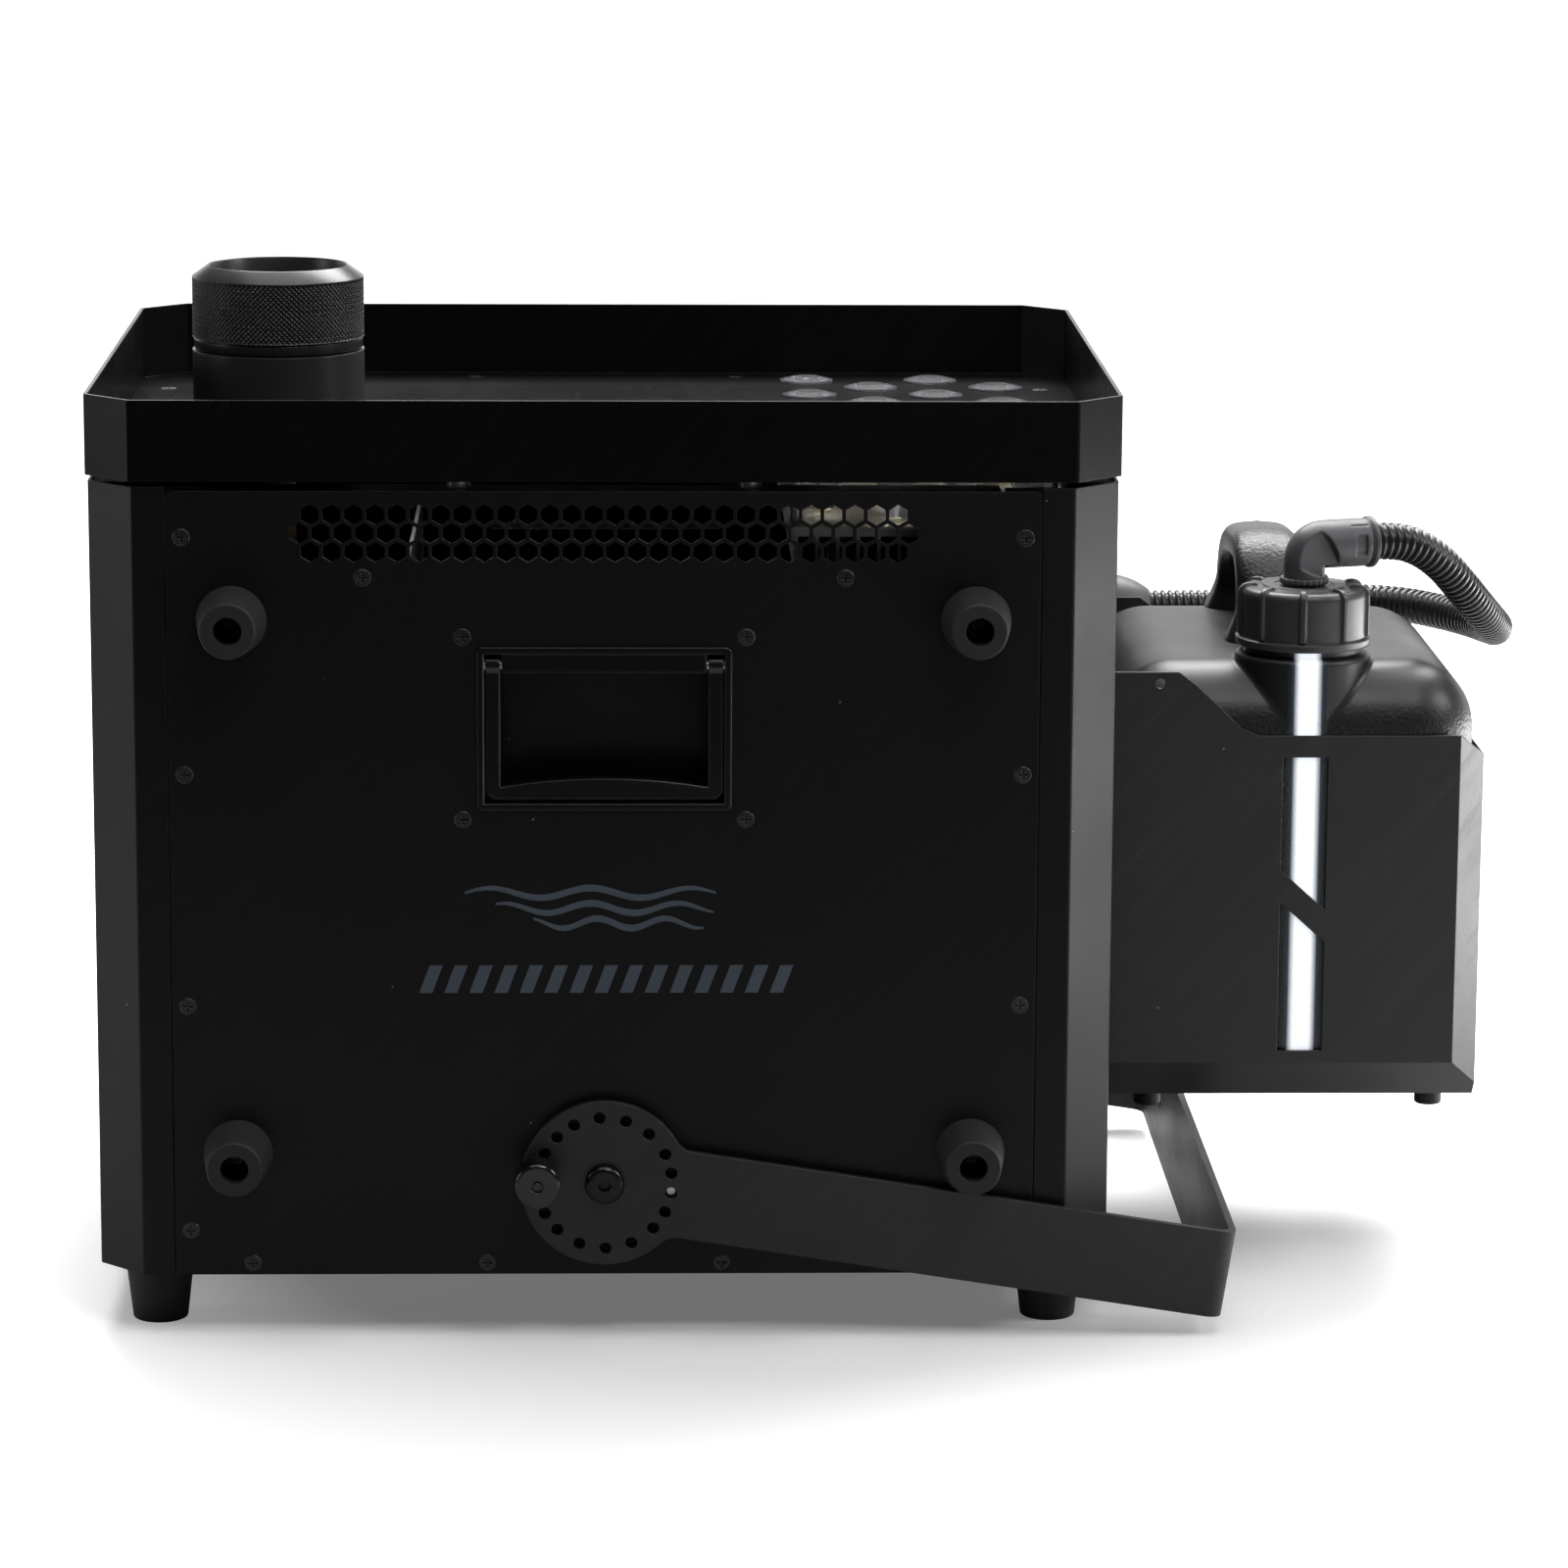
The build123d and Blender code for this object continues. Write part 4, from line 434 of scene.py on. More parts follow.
def metal(name, colour, roughness, lines=900.0, depth=0.00002, lighter=1.25, **uniform):
    """Bare or plated metal with fine drawn lines."""
    material, tree, shader, vector = start_material(name, {"Metallic": 1.0, **uniform})
    surface = group_node(tree, "brushed", vector, lines=lines)
    tree.links.new(two_tones(tree, colour, lighter, surface.outputs["Cloud"]), shader.inputs["Base Color"])
    spread = remap(tree, surface.outputs["Height"], 0.3, 0.7, roughness - 0.08, roughness + 0.12)
    tree.links.new(spread, shader.inputs["Roughness"])
    rough_surface(tree, shader, surface.outputs["Height"], 0.5, depth)
    return material


def clear(name, colour, roughness, **uniform):
    """Clear moulded optics with a faint haze."""
    material, tree, shader, vector = start_material(name, {"Transmission Weight": 0.9, **uniform})
    surface = group_node(tree, "coat", vector, grain=500.0, cloud=60.0)
    tree.links.new(two_tones(tree, colour, 1.1, surface.outputs["Cloud"]), shader.inputs["Base Color"])
    spread = remap(tree, surface.outputs["Cloud"], 0.0, 1.0, roughness, roughness + 0.08)
    tree.links.new(spread, shader.inputs["Roughness"])
    return material


def woven(name, colour, roughness):
    """Glass cloth, with painted shade in the dips of its weave and lighter crests."""
    material, tree, shader, vector = start_material(name, {"Sheen Weight": 0.3})
    surface = group_node(tree, "weave", vector, threads=2100.0)
    share = remap(tree, surface.outputs["Height"], -1.0, 1.0)
    # Painted shade: the colour darkens where the weave dips and lightens on its crests.
    shaded_hollow = tuple(part * 0.6 for part in colour)
    tree.links.new(two_tones(tree, shaded_hollow, 1.6, share), shader.inputs["Base Color"])
    tree.links.new(remap(tree, share, 0.0, 1.0, roughness, roughness - 0.1), shader.inputs["Roughness"])
    rough_surface(tree, shader, surface.outputs["Height"], 0.8, 0.0002)
    return material


def circuit(name, colour, roughness):
    """Bare circuit board with tinned tracks."""
    material, tree, shader, vector = start_material(name, {})
    values = {"Vector": vector, "Scale": 90.0, "Mortar Size": 0.06, "Mortar Smooth": 0.1}
    tracks = add_node(tree, "ShaderNodeTexBrick", values).outputs["Fac"]
    surface = group_node(tree, "coat", vector, cloud=25.0)
    tones = two_tones(tree, colour, 1.2, surface.outputs["Cloud"])
    tree.links.new(speckled(tree, tones, (0.55, 0.5, 0.4), tracks), shader.inputs["Base Color"])
    tree.links.new(remap(tree, tracks, 0.0, 1.0, roughness, 0.3), shader.inputs["Roughness"])
    rough_surface(tree, shader, tracks, 0.4, 0.00005)
    return material


def canister_finish(name, colour, roughness, strip_tint):
    """Black blown plastic, pebbled on its walls and grip, with a milky level strip down its front that glows
    as painted light.
    """
    material, tree, shader, vector = start_material(name, {"Specular IOR Level": 0.5})
    surface = group_node(tree, "pebble", vector, pebble=560.0, cloud=20.0)
    tones = two_tones(tree, colour, 1.4, surface.outputs["Cloud"])
    place = add_node(tree, "ShaderNodeSeparateXYZ", {"Vector": vector})
    aside = arithmetic(tree, "ABSOLUTE", arithmetic(tree, "SUBTRACT", place.outputs["X"], neck_x - 0.0005))
    core = remap(tree, aside, 0.0034, 0.0062, 1.0, 0.0)
    halo = remap(tree, aside, 0.0045, 0.0100, 1.0, 0.0)
    front = remap(tree, place.outputs["Y"], neck_y - 0.016, neck_y - 0.012, 1.0, 0.0)
    core = arithmetic(tree, "MULTIPLY", core, front)
    halo = arithmetic(tree, "MULTIPLY", arithmetic(tree, "POWER", halo, 2.0), front)
    tones = speckled(tree, tones, (0.10, 0.13, 0.19), halo)
    tones = speckled(tree, tones, strip_tint, core)
    tree.links.new(tones, shader.inputs["Base Color"])
    spread = remap(tree, surface.outputs["Cloud"], 0.0, 1.0, roughness + 0.05, roughness - 0.05)
    tree.links.new(spread, shader.inputs["Roughness"])
    # Painted light: the level strip glows in its own colour, as though lit from inside, though no lamp is
    # there.
    glow = speckled(tree, (0.0, 0.0, 0.0, 1.0), strip_tint, core)
    tree.links.new(glow, shader.inputs["Emission Color"])
    shader.inputs["Emission Strength"].default_value = 0.75
    walls = remap(tree, place.outputs["Z"], can_high.z - 0.072, can_high.z - 0.058, 1.0, 0.0)
    grip = remap(tree, place.outputs["Z"], can_high.z - 0.042, can_high.z - 0.034)
    clear_of_neck = remap(tree, place.outputs["Y"], neck_y + 0.030, neck_y + 0.034)
    grip = arithmetic(tree, "MULTIPLY", grip, clear_of_neck)
    textured = arithmetic(tree, "MAXIMUM", walls, grip)
    textured = arithmetic(tree, "MAXIMUM", textured, 0.12)
    height = arithmetic(tree, "MULTIPLY", surface.outputs["Height"], textured)
    rough_surface(tree, shader, height, 1.0, 0.00022)
    return material


# ---------------------------------------------------------------- what a user would change
def colour_property(label, value):
    """A colour with a name and a description."""
    text = f"Colour of the {label.lower()}"
    words = {"name": label, "description": text}
    return bpy.props.FloatVectorProperty(**words, subtype="COLOR", size=3, default=value)


def length_property(label, text, value):
    """A length in metres with a name and a description."""
    return bpy.props.FloatProperty(name=label, description=text, unit="LENGTH", default=value)


class FogMachineSizes(bpy.types.PropertyGroup):
    """Sizes of the pieces that are worked out here."""

    hose_pitch: length_property("Hose pitch", "Distance between two ribs of the hose", 0.0034)
    hose_rib: length_property("Hose rib", "Depth of the grooves between the hose's ribs", 0.0013)
    knurl_pitch: length_property("Knurl pitch", "Height of one diamond of the knurled ring", 0.0022)
    knurl_depth: length_property("Knurl depth", "Depth of the knurled ring's grooves", 0.0008)
    cap_ribs: bpy.props.IntProperty(name="Cap ribs", description="Grip ribs round the cap", default=9)
    cap_rib_height: length_property("Cap rib height", "How far the ribs stand out", 0.0015)
    mark_thickness: length_property("Mark thickness", "Thickness of the printed marks", 0.00012)


class FogMachineColours(bpy.types.PropertyGroup):
    """Colours of the main finishes."""

    coat: colour_property("Case coat", (0.0042, 0.0042, 0.0046))
    tray_coat: colour_property("Tray coat", (0.0036, 0.0036, 0.0042))
    bracket_coat: colour_property("Bracket coat", (0.0072, 0.0072, 0.0077))
    rubber: colour_property("Foot rubber", (0.0130, 0.0130, 0.0132))
    canister: colour_property("Canister", (0.0070, 0.0072, 0.0080))
    level_strip: colour_property("Level strip", (0.86, 0.90, 0.95))
    printed_marks: colour_property("Printed marks", (0.060, 0.075, 0.100))
    floor: colour_property("Floor", (0.88, 0.88, 0.88))


def sizes():
    """The scene's size properties."""
    return bpy.context.scene.fog_machine_sizes


def colours():
    """The scene's colour properties."""
    return bpy.context.scene.fog_machine_colours


def slot_materials():
    """One finish for each material slot of the record."""
    chosen = colours()
    black = (0.009, 0.009, 0.0095)
    satin = {"Specular IOR Level": 0.26}
    dull = {"Specular IOR Level": 0.12}
    grainy = {"Specular IOR Level": 0.7}
    rubbed = {"grain": 900.0, "depth": 0.00009, "streaks": 2.4}
    turned_metal = {"grain": 2200.0, "depth": 0.00002, "dust": 0.1}
    polished = {"depth": 0.000006, "edge": 0.0014}
    gloss = {"Coat Weight": 0.6, "Coat Roughness": 0.08}
    return {
        "casing_paint": coated("case_coat", chosen.coat, 0.40, flat=True, **satin),
        "tray_paint": coated("tray_coat", chosen.tray_coat, 0.28, flat=True, **dull),
        "bracket_paint": coated("bracket_coat", chosen.bracket_coat, 0.44, **rubbed, **grainy),
        "screw_black": metal("black_zinc", (0.06, 0.06, 0.065), 0.38, lines=1500.0),
        "bolt_black": metal("black_oxide", (0.035, 0.035, 0.038), 0.30),
        "bright_steel": metal("bright_steel", (0.62, 0.62, 0.64), 0.28),
        "handle_plastic": moulded("gloss_plastic", (0.003, 0.003, 0.0034), 0.18, **polished, **gloss),
        "cup_plastic": moulded("cup_plastic", (0.002, 0.002, 0.0024), 0.30, depth=0.00001),
        "foot_rubber": moulded("foot_rubber", chosen.rubber, 0.62, pebble=1300.0),
        "nozzle_black": coated("black_anodised", (0.020, 0.020, 0.0205), 0.34, **turned_metal),
        "brass": metal("brass", (0.72, 0.52, 0.24), 0.30),
        "cast_aluminium": metal("cast_aluminium", (0.58, 0.58, 0.60), 0.45, lines=300.0, depth=0.00006),
        "jacket_fabric": woven("glass_cloth", (0.62, 0.60, 0.55), 0.85),
        "galvanised": metal("zinc_plate", (0.55, 0.56, 0.58), 0.36, lines=500.0),
        "lens_clear": clear("lens_clear", (0.86, 0.88, 0.92), 0.04, IOR=1.49),
        "board_tan": circuit("bare_board", (0.50, 0.40, 0.24), 0.5),
        "chip_white": moulded("chip_ceramic", (0.80, 0.76, 0.55), 0.45, lighter=1.1),
        "fan_plastic": moulded("fan_plastic", (0.012, 0.012, 0.012), 0.42),
        "canister_plastic": canister_finish("canister_plastic", chosen.canister, 0.42, chosen.level_strip),
        "cap_plastic": moulded("cap_plastic", (0.030, 0.030, 0.0305), 0.40, pebble=1500.0),
        "fitting_plastic": moulded("fitting_plastic", (0.060, 0.060, 0.065), 0.46, pebble=1500.0),
        "hose_black": moulded("hose_nylon", (0.012, 0.012, 0.0125), 0.30, pebble=1800.0, depth=0.00001),
        "tube_clear": moulded("silicone_tube", (0.70, 0.74, 0.76), 0.35, lighter=1.1),
        "display_glass": moulded("display_window", (0.004, 0.005, 0.009), 0.08, depth=0.000002, **gloss),
        "button_plastic": moulded("button_plastic", (0.055, 0.055, 0.058), 0.45),
        "socket_plastic": moulded("socket_plastic", black, 0.40),
    }


finishes = {}


# ---------------------------------------------------------------- pieces
class FOG_OT_camera(bpy.types.Operator):
    """Places the camera."""

    bl_idname = "fog_machine.camera"
    bl_label = "Camera"

    def execute(self, context):
        camera = bpy.data.objects.new("camera", bpy.data.cameras.new("camera"))
        context.scene.collection.objects.link(camera)
        camera.location = camera_place
        camera.rotation_euler = Euler([radians(angle) for angle in camera_turn])
        camera.data.lens = camera_lens
        camera.data.sensor_width = sensor_width
        context.scene.camera = camera
        return {"FINISHED"}


class FOG_OT_finishes(bpy.types.Operator):
    """Makes the shared shader groups and one finish for each slot, and gives them to the frame's parts."""

    bl_idname = "fog_machine.finishes"
    bl_label = "Finishes"

    def execute(self, context):
        groups.update(coat=coat_group(), pebble=pebble_group(), brushed=brushed_group(), weave=weave_group())
        finishes.update(slot_materials())
        for subpart in frame["record"]["subparts"]:
            node = frame["nodes"][subpart["node"]]
            for slot in node.material_slots:
                slot.material = finishes[subpart["material_slot"]]
        return {"FINISHED"}


class FOG_OT_hose(bpy.types.Operator):
    """Makes the ribbed hose between the elbow and the gland."""

    bl_idname = "fog_machine.hose"
    bl_label = "Hose"

    def execute(self, context):
        """A tube along the route: its radius falls by the rib depth in each groove, with flat crests."""
        columns = 28
        steps_per_rib = 8
        pitch = sizes().hose_pitch
        line = centreline("hose_line", hose_route)
        path, distance = even_steps(line, pitch / steps_per_rib)
        _, side, normal = path_frames(path)
        wave = np.clip(0.72 + 0.95 * np.cos(2 * pi * distance / pitch), 0.0, 1.0)
        radius = hose_radius - sizes().hose_rib * (1 - wave)
        angle = np.arange(columns) * 2 * pi / columns
        ring = side[:, None] * np.cos(angle)[None, :, None] + normal[:, None] * np.sin(angle)[None, :, None]
        points = path[:, None] + radius[:, None, None] * ring
        rows = len(path)
        points = np.concatenate([points.reshape(-1, 3), path[[0, -1]]])
        faces = [grid_faces(rows, columns), *closed_ends(rows, columns)]
        hose = new_mesh("hose", [(points, faces)], finishes["hose_black"], 70.0)
        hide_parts("fluid_hose")
        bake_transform(hose)
        return {"FINISHED"}


class FOG_OT_elbow(bpy.types.Operator):
    """Makes the elbow on the cap, with its latch windows and end ring."""

    bl_idname = "fog_machine.elbow"
    bl_label = "Hose elbow"

    def execute(self, context):
        """A tube along an upright run, a quarter turn and a level run. Its radius changes along it,
        windows are sunk where both the distance and the angle are inside them, and the front of
        the turn is cut flat."""
        columns = 120
        step = 0.0004
        bend = 0.0094
        stem_radius = 0.0090
        barrel_radius = 0.0106
        low = cap_high.z - 0.004
        mouth = np.array(hose_route[0])
        corner = np.array([neck_x, neck_y, elbow_height])
        reach = np.linalg.norm(mouth - corner)
        way = (mouth - corner) / reach
        up = np.array([0.0, 0.0, 1.0])
        side = np.cross(up, way)
        rise = elbow_height - bend - low
        turn = bend * pi / 2
        total = rise + turn + reach - bend
        distance = np.linspace(0.0, total, int(total / step) + 1)
        share = np.clip((distance - rise) / turn, 0.0, 1.0) * pi / 2
        height = low + np.minimum(distance, rise) + bend * np.sin(share)
        out = bend * (1 - np.cos(share)) + np.maximum(distance - rise - turn, 0.0)
        path = corner * [1, 1, 0] + out[:, None] * way + height[:, None] * up
        tangent = np.cos(share)[:, None] * up + np.sin(share)[:, None] * way
        normal = np.cross(side, tangent)
        left = total - distance
        wider = smooth_step(distance, rise - 0.001, rise + 0.010)
        radius = stem_radius + (barrel_radius - stem_radius) * wider
        radius += 0.0007 * bump_in(left, -0.001, 0.0021, 0.0003)
        radius -= 0.0006 * bump_in(left, 0.0029, 0.0036, 0.0003)
        angle = np.arange(columns) * 2 * pi / columns
        window = bump_in(left, 0.0062, 0.0112, 0.0003)
        quarter = np.abs((np.degrees(angle) + 90.0) % 180.0 - 90.0)
        sunk = window[:, None] * (1 - smooth_step(quarter, 22.0, 26.0))[None, :]
        slits = bump_in(left, 0.0045, 0.0125, 0.0003)[:, None]
        slits = slits * bump_in(quarter, 50.0, 55.0, 2.0)[None, :]
        radius = radius[:, None] - 0.0013 * sunk - 0.0005 * slits
        ring = normal[:, None] * np.sin(angle)[None, :, None] - side * np.cos(angle)[None, :, None]
        points = path[:, None] + radius[..., None] * ring
        forward = (points - corner) @ -side
        flat = stem_radius * 0.80
        heart = corner + 0.0035 * (way - up)
        near_turn = 1 - smooth_step(np.linalg.norm(points - heart, axis=-1), 0.0125, 0.0130)
        cut = np.maximum(forward - flat, 0.0) * near_turn
        points = points + cut[..., None] * side
        rows = len(path)
        grid = points.reshape(-1, 3)
        grid = np.concatenate([grid, path[[0, -1]]])
        faces = [grid_faces(rows, columns)[:, ::-1], *closed_ends(rows, columns, outwards=False)]
        base = cap_high.z + 0.0003
        teeth = 24
        flange_columns = 192
        turns = np.arange(flange_columns) * 2 * pi / flange_columns
        notch = 0.0004 * (np.cos(turns * teeth) > 0.2)
        outline = np.array([0.0088, 0.0102, 0.0107, 0.0107, 0.0104, 0.0088])
        levels = base + np.array([0.0, 0.0, 0.0005, 0.0021, 0.0026, 0.0026])
        toothed = outline[:, None] - notch[None, :] * np.array([0, 1, 1, 1, 1, 0])[:, None]
        flange = turned((toothed, levels), flange_columns, (neck_x, neck_y))
        flange_faces = [grid_faces(len(outline), flange_columns, wrap_rows=True)]
        parts = [(grid, faces), (flange, flange_faces)]
        elbow = new_mesh("hose_elbow_body", parts, finishes["fitting_plastic"], 35.0)
        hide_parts("hose_elbow")
        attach(elbow, "canister")
        return {"FINISHED"}


class FOG_OT_cap(bpy.types.Operator):
    """Makes the ribbed screw cap."""

    bl_idname = "fog_machine.cap"
    bl_label = "Screw cap"

    def execute(self, context):
        """A profile turned about the neck's axis. The ribs stand out along the profile's own normal
        where a narrow hump round each rib's angle is above 0, and fade towards the flange and the hub."""
        columns = 720
        hub = 0.00905
        bore = 0.02555
        flange = (cap_high.x - cap_low.x) / 2
        low = cap_low.z
        top = cap_high.z
        wall = flange - 0.0018
        edge = 0.0034
        quarter = np.linspace(0.0, pi / 2, 9)
        rounded = [(wall - edge + edge * cos(a), top - edge - 0.0008 + edge * sin(a)) for a in quarter]
        corners = [
            (bore, low),
            (flange - 0.0003, low),
            (flange, low + 0.0004),
            (flange, low + 0.0030),
            (flange - 0.0005, low + 0.0034),
            (wall, low + 0.0036),
            *rounded,
            (0.0182, top - 0.0008),
            (0.0176, top),
            (0.0135, top),
            (0.0130, top - 0.0006),
            (hub, top - 0.0006),
            (hub, top - 0.0023),
            (bore, top - 0.0023),
        ]
        profile = along([*corners, corners[0]], 0.0007)[:-1]
        radius = profile[:, 0]
        height = profile[:, 1]
        tangent = np.roll(profile, -1, axis=0) - np.roll(profile, 1, axis=0)
        tangent /= np.linalg.norm(tangent, axis=1)[:, None]
        normal = np.stack([tangent[:, 1], -tangent[:, 0]], axis=-1)
        on_wall = smooth_step(height, low + 0.0036, low + 0.0046) * smooth_step(radius, 0.0195, 0.0215)
        angle = np.arange(columns) * 2 * pi / columns
        first_rib = radians(-97.0)
        share = ((angle - first_rib) * sizes().cap_ribs / (2 * pi) + 0.5) % 1.0 - 0.5
        aside = np.abs(share) * 2 * pi / sizes().cap_ribs * wall
        rib = 1 - smooth_step(aside, 0.0010, 0.0019)
        stand = sizes().cap_rib_height * on_wall[:, None] * rib[None, :]
        points = turned((radius[:, None] + normal[:, :1] * stand, height[:, None] + normal[:, 1:] * stand),
                        columns, (neck_x, neck_y))
        faces = [grid_faces(len(profile), columns, wrap_rows=True)]
        cap = new_mesh("screw_cap", [(points, faces)], finishes["cap_plastic"], 45.0)
        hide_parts("canister_cap")
        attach(cap, "cap")
        return {"FINISHED"}


class FOG_OT_canister(bpy.types.Operator):
    """Makes the blown canister with its neck boss, and its grip."""

    bl_idname = "fog_machine.canister"
    bl_label = "Canister"

    def execute(self, context):
        """Every line of the body runs from the neck to the bottom in a vertical plane through the
        neck's axis. In plan it goes from the boss to a rectangle with round corners, and its height is
        the top less the drop of a quarter circle on the distance beyond the rectangle's inner part."""
        columns = 480
        round_edge = 0.030
        body_height = 0.1915
        boss_radius = 0.0296
        inside_face = 0.0004
        floor = can_low.z
        top = floor + body_height
        low = np.array([can_low.x, can_low.y])
        high = np.array([can_high.x, can_high.y])
        middle = (low + high) / 2
        half = (high - low) / 2
        neck = np.array([neck_x, neck_y])
        angle = np.arange(columns) * 2 * pi / columns
        way = np.stack([np.cos(angle), np.sin(angle)], axis=-1)
        reach = self.reach_of_outline(neck, way, middle, half, round_edge)
        boss = np.minimum(boss_radius, reach - inside_face)

        def drop(places):
            """How far the shoulder is below the top at each place in plan."""
            beyond = np.maximum(np.abs(places - middle) - (half - round_edge), 0.0)
            distance = np.minimum(np.linalg.norm(beyond, axis=-1), round_edge)
            return round_edge - np.sqrt(round_edge**2 - distance**2)

        neck_radius = 0.0254
        crest = top + 0.0036
        round_boss = 0.0026
        foot = top - drop(neck + boss[:, None] * way)
        rows = [(np.full(columns, neck_radius), np.full(columns, cap_low.z + 0.004))]
        rows.append((np.full(columns, neck_radius), np.full(columns, crest + 0.0004)))
        for share in np.linspace(0.0, pi / 2, 9):
            level = crest - round_boss * (1 - cos(share))
            rows.append((boss - round_boss * (1 - sin(share)), np.full(columns, level)))
        fillet = np.minimum(0.0016, (reach - boss) * 0.9)
        wall_end = np.minimum(crest - round_boss - 0.0002, foot + 0.0016)
        for share in np.linspace(0.1, 1.0, 10):
            rows.append((boss, (crest - round_boss) * (1 - share) + wall_end * share))
        for share in np.linspace(0.15, 1.0, 8):
            place = boss + fillet * share
            ground = top - drop(neck + place[:, None] * way)
            rows.append((place, ground + (wall_end - foot) * (1 - share) ** 2))
        start = boss + fillet
        for share in np.sin(np.linspace(0.0, pi / 2, 60))[1:]:
            place = start + (reach - start) * share
            rows.append((place, top - drop(neck + place[:, None] * way)))
        for level in np.linspace(top - round_edge, floor + round_edge, 24)[1:]:
            rows.append((reach, np.full(columns, level)))
        for share in np.cos(np.linspace(0.0, pi / 2, 40))[1:-1]:
            place = reach * share
            rows.append((place, floor + drop(neck + place[:, None] * way)))
        radius = np.array([row[0] for row in rows])
        height = np.array([row[1] for row in rows])
        body = turned((radius, height), columns, neck).reshape(-1, 3)
        count = len(rows)
        poles = [[neck[0], neck[1], cap_low.z + 0.004], [neck[0], neck[1], floor]]
        body = np.concatenate([body, poles])
        faces = [grid_faces(count, columns)[:, ::-1], *closed_ends(count, columns, outwards=False)]
        grip, grip_faces = self.grip(top, middle)
        parts = [(body, faces), (grip, grip_faces)]
        canister = new_mesh("canister_body", parts, finishes["canister_plastic"], 50.0)
        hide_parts("canister")
        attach(canister, "canister")
        return {"FINISHED"}

    def reach_of_outline(self, start, way, middle, half, corner):
        """Distance from start along each way to a rectangle with round corners, by halving."""
        near = np.zeros(len(way))
        far = np.full(len(way), 0.4)
        for _ in range(40):
            tried = (near + far) / 2
            places = start + tried[:, None] * way
            beyond = np.abs(places - middle) - (half - corner)
            over = np.linalg.norm(np.maximum(beyond, 0.0), axis=-1)
            outside = over + np.minimum(beyond.max(axis=-1), 0.0) > corner
            far = np.where(outside, tried, far)
            near = np.where(outside, near, tried)
        return near

    def grip(self, top, middle):
        """A bar with a rounded, flattened section along an arch, thicker at its two feet, with a fine
        ridge along its outer middle where the mould closed."""
        columns = 64
        arch = [
            (0.0, -0.0170, top - 0.014),
            (0.0, -0.0165, top + 0.012),
            (0.0, -0.0120, top + 0.030),
            (0.0, 0.0040, top + 0.0385),
            (0.0, 0.0250, top + 0.0375),
            (0.0, 0.0460, top + 0.0362),
            (0.0, 0.0640, top + 0.0280),
            (0.0, 0.0720, top + 0.010),
            (0.0, 0.0740, top - 0.014),
        ]
        line, distance = even_steps(centreline("grip_line", arch), 0.0015)
        tangent = np.gradient(line, axis=0)
        tangent /= np.linalg.norm(tangent, axis=1)[:, None]
        across = np.array([1.0, 0.0, 0.0])
        outward = np.cross(across, tangent)
        outward *= np.sign(outward[len(outward) // 2, 2])
        grip_half = 0.0148
        off_centre = 0.0045
        ridge_height = 0.0004
        ridge_width = 0.0006
        half_width = grip_half + 0.006 * self.flare(distance)
        half_thick = 0.0080 + 0.005 * self.flare(distance)
        angle = np.arange(columns) * 2 * pi / columns
        cosine = np.cos(angle)
        sine = np.sin(angle)
        squareness = 0.62
        wide = np.sign(cosine) * np.abs(cosine) ** squareness
        thick = np.sign(sine) * np.abs(sine) ** squareness
        ridge = ridge_height * np.exp(-((wide * grip_half / ridge_width) ** 2)) * (thick > 0)
        points = (
            line[:, None]
            + across * (half_width[:, None] * wide)[..., None]
            + outward[:, None] * (half_thick[:, None] * thick + ridge)[..., None]
        )
        points[..., 0] += middle[0] - off_centre
        count = len(line)
        ends = points[[0, -1]].mean(axis=1)
        points = np.concatenate([points.reshape(-1, 3), ends])
        return points, [grid_faces(count, columns), *closed_ends(count, columns)]

    def flare(self, distance):
        """1 at both ends of the bar, falling to 0 over its first and last parts."""
        total = distance[-1]
        ends = np.minimum(distance, total - distance)
        return 1 - smooth_step(ends, 0.008, 0.030)


class FOG_OT_collar(bpy.types.Operator):
    """Makes the knurled ring at the nozzle's mouth."""

    bl_idname = "fog_machine.collar"
    bl_label = "Knurled ring"

    def execute(self, context):
        """A closed profile turned about the nozzle's axis. Over the knurled band the radius drops by
        the depth times one less the smaller of two triangle waves that run up it in opposite ways."""
        band_radius = 0.0379
        pitch = sizes().knurl_pitch
        around = 104
        per_diamond = 7
        columns = around * per_diamond
        low = collar_low.z
        top = collar_high.z
        band_low = low + 0.0051
        band_high = top - 0.0053
        below = [
            (0.0366, low),
            (0.0372, low + 0.0006),
            (0.0372, band_low - 0.0008),
            (0.0365, band_low - 0.0004),
        ]
        band_rows = int((band_high - band_low) / pitch * per_diamond)
        heights = np.linspace(band_low, band_high, band_rows)
        band = [(band_radius, height) for height in heights]
        above = [
            (0.0376, band_high + 0.0005),
            (0.0312, top - 0.0003),
            (0.0308, top),
            (0.03045, top - 0.0002),
            (0.03025, top - 0.0006),
            (0.03025, top - 0.0140),
            (0.0316, top - 0.0140),
            (0.0316, low),
        ]
        profile = np.array([*below, *band, *above])
        angle = np.arange(columns) / columns * around
        climb = (profile[:, 1] - band_low) / pitch
        first = 1 - 2 * np.abs((angle[None, :] + climb[:, None]) % 1.0 - 0.5)
        second = 1 - 2 * np.abs((angle[None, :] - climb[:, None]) % 1.0 - 0.5)
        inside = bump_in(profile[:, 1], band_low + 0.0003, band_high - 0.0003, 0.0003)
        inside = inside * (profile[:, 0] >= band_radius)
        cut = sizes().knurl_depth * (1 - 1.3 * np.minimum(np.minimum(first, second), 0.77))
        radius = profile[:, :1] - cut * inside[:, None]
        points = turned((radius, profile[:, 1]), columns, (nozzle_x, nozzle_y))
        faces = [grid_faces(len(profile), columns, wrap_rows=True)]
        collar = new_mesh("knurled_ring", [(points, faces)], finishes["nozzle_black"], 50.0)
        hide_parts("nozzle_collar")
        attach(collar, "collar")
        return {"FINISHED"}


